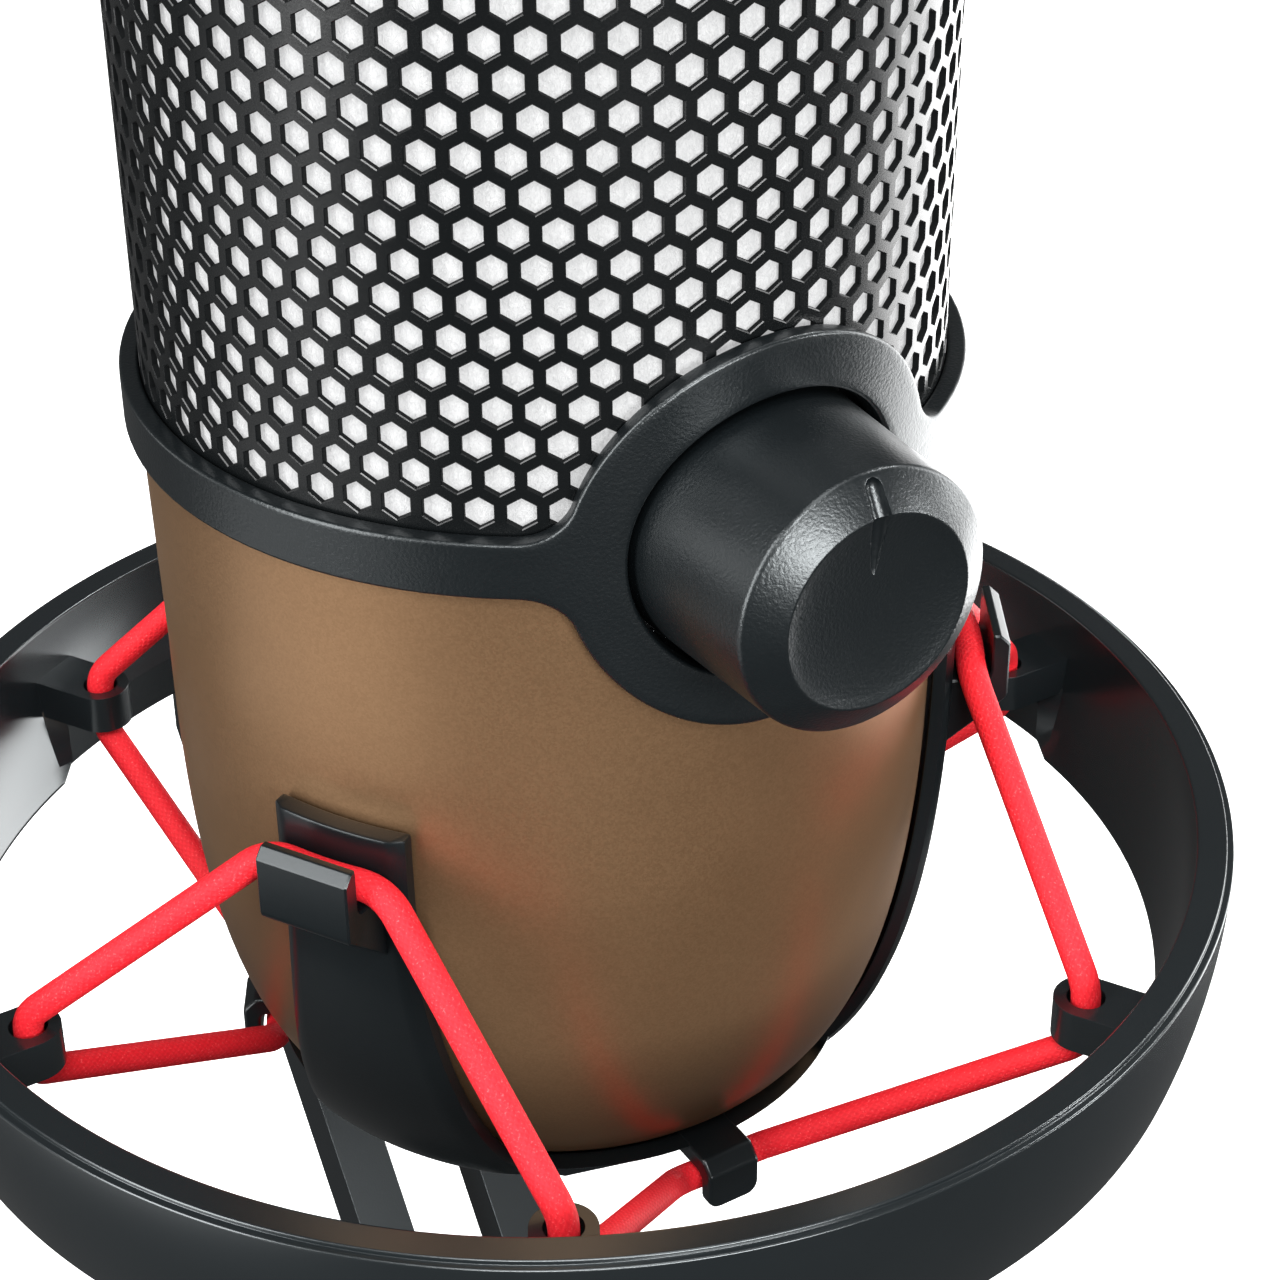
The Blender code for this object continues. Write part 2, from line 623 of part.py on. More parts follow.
def build_cord(looks, ring_centre):
    # Route of the loop, from hook to lug to tail and on round the ring
    tail_radius = tail_cord_radius()
    hook_turn = math.degrees((HOOK_HALF_WIDTH + CORD_END_LEAD) / HOOK_CORD_RADIUS)
    tail_turn = math.degrees((TAIL_HALF_WIDTH + CORD_END_LEAD) / tail_radius)
    corners = []
    for index in range(HOOK_COUNT):
        hook = HOOK_SPACING * (index + 0.5)
        tail = HOOK_SPACING * (index + 1)
        lug_up = hook + LUG_SPACING / 2
        lug_down = tail + LUG_SPACING / 2
        corners += [(HOOK_CORD_RADIUS, hook - hook_turn, HOOK_CORD_HEIGHT),
                    (HOOK_CORD_RADIUS, hook, HOOK_CORD_HEIGHT),
                    (HOOK_CORD_RADIUS, hook + hook_turn, HOOK_CORD_HEIGHT),
                    (LUG_CIRCLE, lug_up, CORD_LEAD - LUG_DROP),
                    (LUG_CIRCLE, lug_up, -LUG_FOOT - CORD_LEAD),
                    (tail_radius, tail - tail_turn, -TAIL_CORD_DROP),
                    (tail_radius, tail, -TAIL_CORD_DROP),
                    (tail_radius, tail + tail_turn, -TAIL_CORD_DROP),
                    (LUG_CIRCLE, lug_down, -LUG_FOOT - CORD_LEAD),
                    (LUG_CIRCLE, lug_down, CORD_LEAD - LUG_DROP)]
    points = [polar(*corner) for corner in corners]
    route = []
    for index, corner in enumerate(points):
        before = (points[index - 1] - corner).normalized() * CORD_BEND
        after = (points[(index + 1) % len(points)] - corner).normalized() * CORD_BEND
        if before.angle(-after) < math.radians(CORD_BEND_LIMIT):
            route.append(corner)
        else:
            route += [corner + before, corner + (before + after) / 4, corner + after]
    line = bpy.data.curves.new("elastic_cord", "CURVE")
    line.dimensions = "3D"
    line.bevel_depth = CORD_RADIUS
    line.bevel_resolution = 2
    line.use_fill_caps = True
    spline = line.splines.new("POLY")
    spline.points.add(len(route) - 1)
    for point, place in zip(spline.points, route):
        point.co = (*place, 1)
    spline.use_cyclic_u = True
    line.materials.append(looks["red_cord"])
    cord = bpy.data.objects.new("elastic_cord", line)
    bpy.context.collection.objects.link(cord)
    cord.parent = ring_centre


def build_cradle(looks, mic_centre):
    mouth = body_height(BODY_MOUTH_RADIUS)
    lip = CRADLE_CUP_LIP - BODY_BOTTOM_DROP
    outer_gap = CLEARANCE + CRADLE_WALL + CRADLE_CUP_EXTRA
    heights = curve_heights(lip, mouth, 4)
    inside = [body_offset(height, CLEARANCE) for height in heights]
    outside = [body_offset(height, outer_gap) for height in heights]
    hole = BOSS_RADIUS + CLEARANCE
    profile = inside + [(hole, inside[-1][1]), (hole, outside[-1][1])] + list(reversed(outside))
    cradle = add_piece("cradle", turned(profile, BODY_STEPS), looks["charcoal"], mic_centre)

    inner_gap = CLEARANCE + CRADLE_ARM_INSET
    foot = heights[1]
    rows = 8
    columns = 4
    arm_heights = [HOOK_PLATE_RISE, HOOK_PLATE_FOOT]
    arm_heights += curve_heights(HOOK_PLATE_FOOT, foot, rows)[1:]
    for index in range(HOOK_COUNT):
        angle = HOOK_SPACING * (index + 0.5)
        loops = []
        for height in arm_heights:
            drop = max(0.0, HOOK_PLATE_FOOT - height) / (HOOK_PLATE_FOOT - foot)
            half_width = HOOK_PLATE_HALF_WIDTH + CRADLE_ARM_SPREAD * drop
            near = body_offset(height, inner_gap)
            far = body_offset(height, CLEARANCE + CRADLE_WALL)
            swing = math.degrees(half_width / far[0])
            turns = [angle + swing * (2 * column / columns - 1) for column in range(columns + 1)]
            loop = [polar(far[0], turn, far[1]) for turn in turns]
            loop += [polar(near[0], turn, near[1]) for turn in reversed(turns)]
            loops.append(loop)
        join(cradle, loft(loops))
        join(cradle, sector(hook_outline(), HOOK_HALF_WIDTH, angle, 4))
        join(cradle, sector(tail_outline(), TAIL_HALF_WIDTH, HOOK_SPACING * index, 3))
    return outside[-1][1]


def hook_outline():
    # Upper hook, floor and lip of the channel in radius and height
    floor = HOOK_FLOOR_RISE
    root = PLATE_OUTER - HOOK_ROOT
    corner = HOOK_WALL / 3
    top = floor + HOOK_LIP_HEIGHT
    return [(root, floor), (HOOK_LIP_INNER, floor), (HOOK_LIP_INNER, top),
            (HOOK_LIP_OUTER - corner, top), (HOOK_LIP_OUTER, top - corner),
            (HOOK_LIP_OUTER, floor - HOOK_FLOOR_DEPTH),
            (PLATE_OUTER, floor - HOOK_FLOOR_DEPTH - HOOK_UNDERCUT),
            (root, floor - HOOK_FLOOR_DEPTH - HOOK_UNDERCUT)]


def tail_outline():
    # Lower hook, bridge over the cord and lip in front of it
    cord_radius = tail_cord_radius()
    under = CORD_RADIUS + CLEARANCE - TAIL_CORD_DROP
    top = under + TAIL_BRIDGE
    lip_inner = cord_radius + CORD_RADIUS + CLEARANCE
    lip_outer = lip_inner + TAIL_LIP
    lip_foot = -TAIL_CORD_DROP - TAIL_LIP_DROP
    root = cord_radius - TAIL_CORD_OFFSET
    return [(root, under), (lip_inner, under), (lip_inner, lip_foot), (lip_outer, lip_foot),
            (lip_outer, top - TAIL_LIP / 3), (lip_outer - TAIL_LIP / 3, top), (root, top)]


def build_bottom(looks, mic_centre, cradle_bottom):
    mouth = body_height(BODY_MOUTH_RADIUS)
    boss_bottom = mouth - BOSS_DROP
    inlet_floor = boss_bottom + INLET_DEPTH
    plate_top = mouth + CAP_PLATE
    plate_radius = BODY_MOUTH_RADIUS - CLEARANCE
    cap = add_piece("bottom_cap", turned([
        (0, plate_top), (plate_radius, plate_top), (plate_radius, mouth), (BOSS_RADIUS, mouth),
        (BOSS_RADIUS, boss_bottom), (INLET_RADIUS, boss_bottom), (INLET_RADIUS, inlet_floor),
        (0, inlet_floor)], BODY_STEPS), looks["charcoal"], mic_centre)
    half_width = SOCKET_WIDTH / 2
    half_depth = SOCKET_DEPTH / 2
    grown_width = half_width + CLEARANCE
    grown_depth = half_depth + CLEARANCE
    cut(cap, block((-grown_width, -grown_depth, boss_bottom), (grown_width, grown_depth, BODY_BEND_HEIGHT)))

    socket_low = inlet_floor + CLEARANCE
    socket_top = socket_low + SOCKET_HEIGHT
    socket = add_piece("usb_socket", block(
        (-half_width, -half_depth, socket_low), (half_width, half_depth, socket_top)),
        looks["steel"], mic_centre)
    mouth_width = half_width - SOCKET_WALL
    mouth_depth = half_depth - SOCKET_WALL
    cut(socket, block((-mouth_width, -mouth_depth, boss_bottom),
                      (mouth_width, mouth_depth, socket_low + SOCKET_POCKET)))
    board_low = socket_top + CLEARANCE
    board = cylinder(SOCKET_BOARD_RADIUS, board_low, board_low + BOARD_THICKNESS)
    add_piece("usb_board", board, looks["board_green"], mic_centre)

    nut_top = cradle_bottom - CLEARANCE
    nut_shape = cylinder(NUT_RADIUS, nut_top - NUT_HEIGHT, nut_top, NUT_SIDES)
    nut = add_piece("cradle_nut", nut_shape, looks["charcoal"], mic_centre)
    cut(nut, cylinder(BOSS_RADIUS + CLEARANCE, boss_bottom, 0, BODY_STEPS))


def build_shell(looks, mic_centre):
    mouth = body_height(BODY_MOUTH_RADIUS)
    heights = [SHELL_TOP] + curve_heights(BODY_BEND_HEIGHT, mouth, BODY_ROWS)
    outside = [(body_radius(height), height) for height in heights]
    inside = [body_offset(height, -BODY_WALL) for height in heights[1:]]
    inside[-1] = (BODY_MOUTH_RADIUS, inside[-1][1])
    rim = [(body_radius(SHELL_TOP) - BODY_WALL, SHELL_TOP)]
    shell = add_piece("lower_shell", turned(outside + list(reversed(inside)) + rim, BODY_STEPS),
                      looks["bronze"], mic_centre)
    cut(shell, knob_bore(POCKET_RADIUS))


def knob_bore(radius):
    # Round opening for the knob through the front of a tube about the microphone's axis
    bore = towards_front(cylinder(radius, PLATE_FRONT / 2, KNOB_FACE, 2 * SMALL_STEPS))
    return shifted(bore, z=COLLAR_CENTRE)


def surround_half_height(x):
    # Half height of the collar in front view, strip and disc joined by fillets
    strip = COLLAR_HEIGHT / 2
    lift = strip + SURROUND_FILLET
    reach = math.sqrt((SURROUND_RADIUS + SURROUND_FILLET) ** 2 - lift ** 2)
    touch = reach * SURROUND_RADIUS / (SURROUND_RADIUS + SURROUND_FILLET)
    if x >= reach:
        return strip
    if x >= touch:
        return lift - math.sqrt(SURROUND_FILLET ** 2 - (reach - x) ** 2)
    return math.sqrt(SURROUND_RADIUS ** 2 - x ** 2)


def build_collar(looks, mic_centre):
    front_angle = 38
    front_step = 2
    back_step = 6.1
    back_count = round((360 - 2 * front_angle) / back_step)
    turns = list(range(-front_angle, front_angle, front_step))
    turns += [front_angle + (360 - 2 * front_angle) * row / back_count for row in range(back_count)]
    grille_side = GRILLE_RADIUS + CLEARANCE
    loops = []
    for turn in turns:
        half = COLLAR_HEIGHT / 2
        if abs(turn) <= front_angle:
            half = surround_half_height(abs(COLLAR_RADIUS * math.sin(math.radians(turn))))
        section = [(COLLAR_RADIUS, half), (COLLAR_RADIUS, -half), (COLLAR_INNER, -half),
                   (COLLAR_INNER, 0), (grille_side, 0), (grille_side, half)]
        loops.append([polar(radius, turn, COLLAR_CENTRE + height) for radius, height in section])
    collar = add_piece("collar", loft(loops, closed=True), looks["charcoal"], mic_centre)
    cut(collar, knob_bore(KNOB_HOLE_RADIUS))


def build_head(looks, mic_centre):
    grille_inner = GRILLE_RADIUS - GRILLE_WALL
    grille = add_piece("grille", turned([
        (GRILLE_RADIUS, GRILLE_TOP), (GRILLE_RADIUS, COLLAR_CENTRE),
        (grille_inner, COLLAR_CENTRE), (grille_inner, GRILLE_TOP)], FINE_STEPS),
        looks["grille_black"], mic_centre)
    cut(grille, knob_bore(POCKET_RADIUS))
    plug_bottom = GRILLE_TOP - TOP_CAP_PLUG
    foam_top = plug_bottom - CLEARANCE
    foam_inner = FOAM_RADIUS - FOAM_WALL
    foam = add_piece("foam_liner", turned([
        (FOAM_RADIUS, foam_top), (FOAM_RADIUS, COLLAR_CENTRE),
        (foam_inner, COLLAR_CENTRE), (foam_inner, foam_top)], BODY_STEPS),
        looks["white_foam"], mic_centre)
    cut(foam, knob_bore(POCKET_RADIUS))

    brim = GRILLE_TOP + CLEARANCE
    top = brim + TOP_CAP_HEIGHT
    plug = FOAM_RADIUS
    arc_steps = 5
    crown = []
    for index in range(arc_steps + 1):
        angle = 0.5 * math.pi * index / arc_steps
        crown.append((GRILLE_RADIUS - TOP_CAP_ROUND * (1 - math.sin(angle)),
                      top - TOP_CAP_ROUND * (1 - math.cos(angle))))
    hollow = plug - TOP_CAP_WALL
    add_piece("top_cap", turned([(0, top)] + crown + [
        (GRILLE_RADIUS, brim), (plug, brim), (plug, plug_bottom), (hollow, plug_bottom),
        (hollow, top - TOP_CAP_WALL - TOP_CAP_ROUND / 2), (0, top - TOP_CAP_WALL)], BODY_STEPS),
        looks["grille_black"], mic_centre)


def build_frame(looks, mic_centre):
    deck_radius = BODY_RADIUS - BODY_WALL - CLEARANCE
    half_deck = DECK_THICKNESS / 2
    frame = add_piece("inner_frame", cylinder(
        deck_radius, LOWER_DECK, LOWER_DECK + DECK_THICKNESS, BODY_STEPS), looks["frame_black"], mic_centre)
    join(frame, cylinder(FRAME_RADIUS, UPPER_DECK, UPPER_DECK_TOP, BODY_STEPS))
    walls_low = LOWER_DECK + half_deck
    walls_high = UPPER_DECK + half_deck
    join(frame, block((-FRONT_PLATE_HALF_WIDTH, -PLATE_FRONT, walls_low),
                      (FRONT_PLATE_HALF_WIDTH, FRONT_PLATE_THICKNESS - PLATE_FRONT, walls_high)))
    join(frame, block((-BACK_WALL_HALF_WIDTH, BACK_WALL_REACH - FRONT_PLATE_THICKNESS, walls_low),
                      (BACK_WALL_HALF_WIDTH, BACK_WALL_REACH, walls_high)))
    hole_back = PLATE_FRONT - 2 * FRONT_PLATE_THICKNESS
    bushing_hole = cylinder(BUSHING_RADIUS + CLEARANCE, hole_back, BUSHING_FRONT)
    cut(frame, shifted(towards_front(bushing_hole), z=COLLAR_CENTRE))

    post_foot = LOWER_DECK - POST_LENGTH
    board_top = post_foot - CLEARANCE
    board_low = board_top - BOARD_THICKNESS
    board_radius = deck_radius - MAIN_BOARD_INSET
    board = add_piece("main_board", cylinder(board_radius, board_low, board_top, BODY_STEPS),
                      looks["board_green"], mic_centre)
    head_seat = board_low - CLEARANCE
    tip = post_foot + BOARD_SCREW_BITE
    for index in range(POST_COUNT):
        spot = polar(POST_CIRCLE, 360 * index / POST_COUNT, 0)
        place = Matrix.Translation(spot)
        join(frame, moved(cylinder(POST_RADIUS, post_foot, walls_low), place))
        cut(frame, moved(cylinder(SCREW_HOLE_RADIUS, head_seat, tip + CLEARANCE, SCREW_STEPS), place))
        cut(board, moved(cylinder(SCREW_HOLE_RADIUS, head_seat, tip, SCREW_STEPS), place))
        screw(f"board_screw_{index + 1}", looks["zinc"], tip - head_seat, mic_centre,
              (spot.x, spot.y, head_seat), (math.pi, 0, 0))


def build_capsule(looks, mic_centre):
    holder_inner = CAPSULE_RADIUS + CLEARANCE
    holder_outer = holder_inner + HOLDER_WALL
    half_holder = HOLDER_DEPTH / 2
    ring = turned([(holder_outer, half_holder), (holder_outer, -half_holder),
                   (holder_inner, -half_holder), (holder_inner, half_holder)], 2 * SMALL_STEPS)
    holder = add_piece("capsule_holder", shifted(towards_front(ring), z=CAPSULE_HEIGHT),
                       looks["frame_black"], mic_centre)
    mast_top = CAPSULE_HEIGHT - holder_inner - HOLDER_WALL / 3
    join(holder, cylinder(MAST_RADIUS, UPPER_DECK_TOP + CLEARANCE, mast_top))
    cut(holder, shifted(towards_front(cylinder(holder_inner, -MAST_RADIUS - CLEARANCE,
                                               MAST_RADIUS + CLEARANCE, 2 * SMALL_STEPS)),
                        z=CAPSULE_HEIGHT))
    half = CAPSULE_DEPTH / 2
    middle = (0, 0, CAPSULE_HEIGHT)
    forward = (math.pi / 2, 0, 0)
    add_piece("capsule_body", cylinder(CAPSULE_RADIUS, -half, half, 2 * SMALL_STEPS),
              looks["brass"], mic_centre, middle, forward)
    near = half + CLEARANCE
    for name, low in (("capsule_front_plate", near), ("capsule_rear_plate", -near - CAPSULE_PLATE)):
        add_piece(name, cylinder(CAPSULE_PLATE_RADIUS, low, low + CAPSULE_PLATE, 2 * SMALL_STEPS),
                  looks["gold"], mic_centre, middle, forward)


def build_control(looks, mic_centre):
    knob_axis = empty("knob_axis", mic_centre, (0, 0, COLLAR_CENTRE), (math.pi / 2, 0, 0))
    half = CONTROL_SIZE / 2
    control = add_piece("potentiometer", block(
        (-half, -half, CONTROL_FRONT - CONTROL_DEPTH), (half, half, CONTROL_FRONT)),
        looks["frame_black"], knob_axis)
    join(control, cylinder(BUSHING_RADIUS, CONTROL_FRONT - CONTROL_DEPTH / 2, BUSHING_FRONT))
    shaft_back = CONTROL_FRONT - SHAFT_TAIL
    cut(control, cylinder(BUSHING_BORE, shaft_back - CLEARANCE, KNOB_FACE))
    nut_high = CONTROL_NUT_BACK + CONTROL_NUT_HEIGHT
    nut_sides = 6
    nut = add_piece("control_nut", cylinder(CONTROL_NUT_RADIUS, CONTROL_NUT_BACK, nut_high, nut_sides),
                    looks["steel"], knob_axis)
    cut(nut, cylinder(BUSHING_RADIUS + CLEARANCE, 0, KNOB_FACE))
    add_piece("control_shaft", cylinder(SHAFT_RADIUS, shaft_back, SHAFT_FRONT), looks["steel"], knob_axis)

    bore = SHAFT_RADIUS + CLEARANCE
    bore_end = SHAFT_FRONT + CLEARANCE
    boss_back = BUSHING_FRONT + CLEARANCE
    hollow = KNOB_RADIUS - KNOB_WALL
    hollow_end = KNOB_EDGE - KNOB_CORE
    dish_steps = 4
    dish = []
    for index in range(dish_steps + 1):
        radius = DISH_RADIUS * (1 - index / dish_steps)
        dish.append((radius, KNOB_FACE - DISH_DEPTH * (1 - (radius / DISH_RADIUS) ** 2)))
    knob = add_piece("gain_knob", turned([
        (0, bore_end), (bore, bore_end), (bore, boss_back), (KNOB_BOSS_RADIUS, boss_back),
        (KNOB_BOSS_RADIUS, hollow_end), (hollow, hollow_end), (hollow, KNOB_BACK),
        (KNOB_RADIUS, KNOB_BACK), (KNOB_FRONT_RADIUS, KNOB_EDGE)] + dish, 2 * SMALL_STEPS),
        looks["charcoal"], knob_axis)
    groove = cylinder(POINTER_RADIUS, 0, KNOB_FRONT_RADIUS - POINTER_INSET, SCREW_STEPS)
    groove = moved(groove, Matrix.Rotation(-math.pi / 2, 4, "X"))
    cut(knob, shifted(groove, z=KNOB_FACE + POINTER_RADIUS - POINTER_DEPTH))


def build():
    for old in list(bpy.data.objects):
        bpy.data.objects.remove(old)
    looks = {
        "base_black": finish("base_black", (0.020, 0.020, 0.021), 0.45),
        "rubber": finish("rubber", (0.015, 0.015, 0.015), 0.85),
        "steel": finish("steel", (0.55, 0.55, 0.56), 0.35, 1.0),
        "zinc": finish("zinc", (0.12, 0.12, 0.13), 0.40, 1.0),
        "ring_charcoal": finish("ring_charcoal", (0.030, 0.028, 0.028), 0.40),
        "charcoal": finish("charcoal", (0.022, 0.021, 0.022), 0.50),
        "bronze": finish("bronze", (0.30, 0.18, 0.09), 0.42, 0.8),
        "red_cord": finish("red_cord", (0.72, 0.03, 0.04), 0.75),
        "grille_black": finish("grille_black", (0.012, 0.012, 0.013), 0.38),
        "white_foam": finish("white_foam", (0.86, 0.86, 0.85), 0.95),
        "frame_black": finish("frame_black", (0.025, 0.025, 0.025), 0.60),
        "board_green": finish("board_green", (0.02, 0.10, 0.04), 0.50),
        "brass": finish("brass", (0.60, 0.42, 0.16), 0.35, 1.0),
        "gold": finish("gold", (0.80, 0.58, 0.20), 0.25, 1.0),
    }
    cover, weight = build_base(looks)
    build_pivot(looks, cover, weight)
    tilt_axis = empty("tilt_axis", None, (0, 0, PIVOT_HEIGHT))
    ring_centre = empty("ring_centre", tilt_axis, (0, 0, RIM_RISE))
    mic_centre = empty("mic_centre", ring_centre)
    ring = build_ring(looks, ring_centre)
    build_arm(looks, tilt_axis, ring_centre, ring)
    build_cord(looks, ring_centre)
    cradle_bottom = build_cradle(looks, mic_centre)
    build_bottom(looks, mic_centre, cradle_bottom)
    build_shell(looks, mic_centre)
    build_collar(looks, mic_centre)
    build_head(looks, mic_centre)
    build_frame(looks, mic_centre)
    build_capsule(looks, mic_centre)
    build_control(looks, mic_centre)


build()
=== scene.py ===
from math import asin, atan2, ceil, cos, degrees, hypot, pi, radians, sin, sqrt

import bpy
from mathutils import Matrix, Vector


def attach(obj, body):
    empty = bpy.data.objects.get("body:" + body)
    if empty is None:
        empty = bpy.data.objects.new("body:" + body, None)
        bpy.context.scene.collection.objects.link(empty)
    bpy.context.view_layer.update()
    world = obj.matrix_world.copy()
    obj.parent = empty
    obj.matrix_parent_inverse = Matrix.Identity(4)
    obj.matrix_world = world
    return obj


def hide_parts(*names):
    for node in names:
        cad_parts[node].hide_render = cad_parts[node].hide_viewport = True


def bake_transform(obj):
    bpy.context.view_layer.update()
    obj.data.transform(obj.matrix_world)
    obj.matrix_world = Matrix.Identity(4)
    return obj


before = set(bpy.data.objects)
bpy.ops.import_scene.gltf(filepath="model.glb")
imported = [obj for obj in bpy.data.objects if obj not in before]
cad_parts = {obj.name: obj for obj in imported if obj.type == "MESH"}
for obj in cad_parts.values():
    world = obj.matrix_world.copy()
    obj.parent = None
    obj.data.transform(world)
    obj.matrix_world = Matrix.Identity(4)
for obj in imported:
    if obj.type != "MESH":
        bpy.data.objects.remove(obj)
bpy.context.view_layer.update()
rimHeight = 145.0                                   # ring rim above the table, mm; heights count from it


# modelling by hand: everything is drawn in millimetres and brought to metres when it is settled

def only(obj):
    bpy.ops.object.select_all(action="DESELECT")
    obj.select_set(True)
    bpy.context.view_layer.objects.active = obj


def named(name):
    obj = bpy.context.object
    obj.name = obj.data.name = name
    return obj


def edit(obj):
    only(obj)
    bpy.ops.object.mode_set(mode="EDIT")


def leave():
    bpy.ops.object.mode_set(mode="OBJECT")


def picked(obj, kind, parts, test):                 # goes into edit mode with these parts picked
    edit(obj)
    bpy.ops.mesh.select_mode(type=kind)
    bpy.ops.mesh.select_all(action="DESELECT")
    leave()
    for part in getattr(obj.data, parts):
        part.select = test(part)
    edit(obj)


def pickPoints(obj, test):
    picked(obj, "VERT", "vertices", lambda v: test(v.co))


def pickFaces(obj, test):
    picked(obj, "FACE", "polygons", test)


def pickEdges(obj, test):
    picked(obj, "EDGE", "edges", lambda e: test(*(obj.data.vertices[v].co for v in e.vertices)))


def cleaned(obj):                                   # doubles merged, faces outwards
    edit(obj)
    bpy.ops.mesh.select_all(action="SELECT")
    bpy.ops.mesh.remove_doubles(threshold=0.0008)
    bpy.ops.mesh.normals_make_consistent(inside=False)
    leave()
    return obj


def facingOut(obj):                                 # an open tube shows its outside
    if max(obj.data.polygons, key=lambda f: f.center.x).normal.x < 0:
        edit(obj)
        bpy.ops.mesh.select_all(action="SELECT")
        bpy.ops.mesh.flip_normals()
        leave()
    return obj


def applied(obj, kind, **settings):
    only(obj)
    mod = obj.modifiers.new(kind, kind)
    for key, value in settings.items():
        setattr(mod, key, value)
    bpy.ops.object.modifier_apply(modifier=mod.name)
    return obj


def edged(obj, width, steps=2, angle=35):           # the small round that catches the light
    return applied(obj, "BEVEL", width=width, segments=steps, limit_method="ANGLE",
                   angle_limit=radians(angle), miter_outer="MITER_ARC", use_clamp_overlap=True)


def carved(obj, cutter, operation="DIFFERENCE"):
    applied(obj, "BOOLEAN", operation=operation, object=cutter, solver="EXACT")
    bpy.data.objects.remove(cutter)
    return obj


def joined(first, others):
    bpy.ops.object.select_all(action="DESELECT")
    for other in others:
        other.select_set(True)
    first.select_set(True)
    bpy.context.view_layer.objects.active = first
    bpy.ops.object.join()
    return first


def twin(obj, name):
    copy = obj.copy()
    copy.data = obj.data.copy()
    copy.name = copy.data.name = name
    bpy.context.collection.objects.link(copy)
    return copy


def moved(obj, place=(0, 0, 0), turn=(0, 0, 0)):    # degrees about the origin, then millimetres
    only(obj)
    obj.rotation_euler = [radians(a) for a in turn]
    obj.location = place
    bpy.ops.object.transform_apply(location=True, rotation=True, scale=True)
    return obj


def settled(obj, lift=rimHeight, smooth=35, even=True):
    only(obj)
    obj.scale = (0.001, 0.001, 0.001)
    obj.location = (0, 0, lift / 1000)
    bpy.ops.object.transform_apply(location=True, rotation=True, scale=True)
    bpy.ops.object.shade_smooth_by_angle(angle=radians(smooth))
    if even:
        applied(obj, "WEIGHTED_NORMAL", keep_sharp=True, weight=60)
    return obj


def bent(before, here, after, size, steps):         # a small round in place of a corner
    a, b = here + before.normalized() * size, here + after.normalized() * size
    line = []
    for k in range(steps + 1):
        t = k / steps
        line.append(a * (1 - t) ** 2 + here * 2 * t * (1 - t) + b * t ** 2)
    return line


def eased(corners, steps=4, closed=True):           # (x, y) stays a corner, (x, y, size) is rounded
    line = []
    count = len(corners)
    for i, corner in enumerate(corners):
        here = Vector(corner[:2])
        inside = closed or 0 < i < count - 1
        if len(corner) == 2 or not inside:
            line.append(here)
            continue
        before = Vector(corners[i - 1][:2]) - here
        after = Vector(corners[(i + 1) % count][:2]) - here
        size = min(corner[2], before.length * 0.49, after.length * 0.49)
        line += bent(before, here, after, size, steps)
    return line


def drawn(name, line, closed):                      # a line pulled out point by point in the XZ plane
    bpy.ops.object.select_all(action="DESELECT")
    bpy.ops.mesh.primitive_plane_add(size=1)
    obj = named(name)
    edit(obj)
    bpy.ops.mesh.select_mode(type="VERT")
    bpy.ops.mesh.select_all(action="SELECT")
    bpy.ops.mesh.merge(type="CENTER")
    bpy.ops.transform.translate(value=(line[0][0], 0, line[0][1]))
    route = list(line) + ([line[0]] if closed else [])
    for a, b in zip(route, route[1:]):
        bpy.ops.mesh.extrude_region_move(TRANSFORM_OT_translate={"value": (b[0] - a[0], 0, b[1] - a[1])})
    bpy.ops.mesh.select_all(action="SELECT")
    if closed:
        bpy.ops.mesh.remove_doubles(threshold=0.0002)
    return obj


def spun(name, line, steps=128):                    # (radius, height) line turned about the upright axis
    obj = drawn(name, line, line[0][0] > 0.001)
    bpy.ops.mesh.spin(steps=steps, angle=2 * pi, center=(0, 0, 0), axis=(0, 0, 1))
    leave()
    return cleaned(obj)


def slabOf(name, line, back, front):                # a filled XZ outline pulled from y = back to y = front
    obj = drawn(name, line, True)
    bpy.ops.mesh.edge_face_add()
    bpy.ops.transform.translate(value=(0, back, 0))
    bpy.ops.mesh.extrude_region_move(TRANSFORM_OT_translate={"value": (0, front - back, 0)})
    leave()
    return cleaned(obj)


def rod(name, radius, low, high, sides=48):         # a plain cutter
    bpy.ops.object.select_all(action="DESELECT")
    bpy.ops.mesh.primitive_cylinder_add(vertices=sides, radius=radius, depth=high - low,
                                        location=(0, 0, (low + high) / 2))
    obj = named(name)
    bpy.ops.object.transform_apply(location=True, rotation=True, scale=True)
    return obj


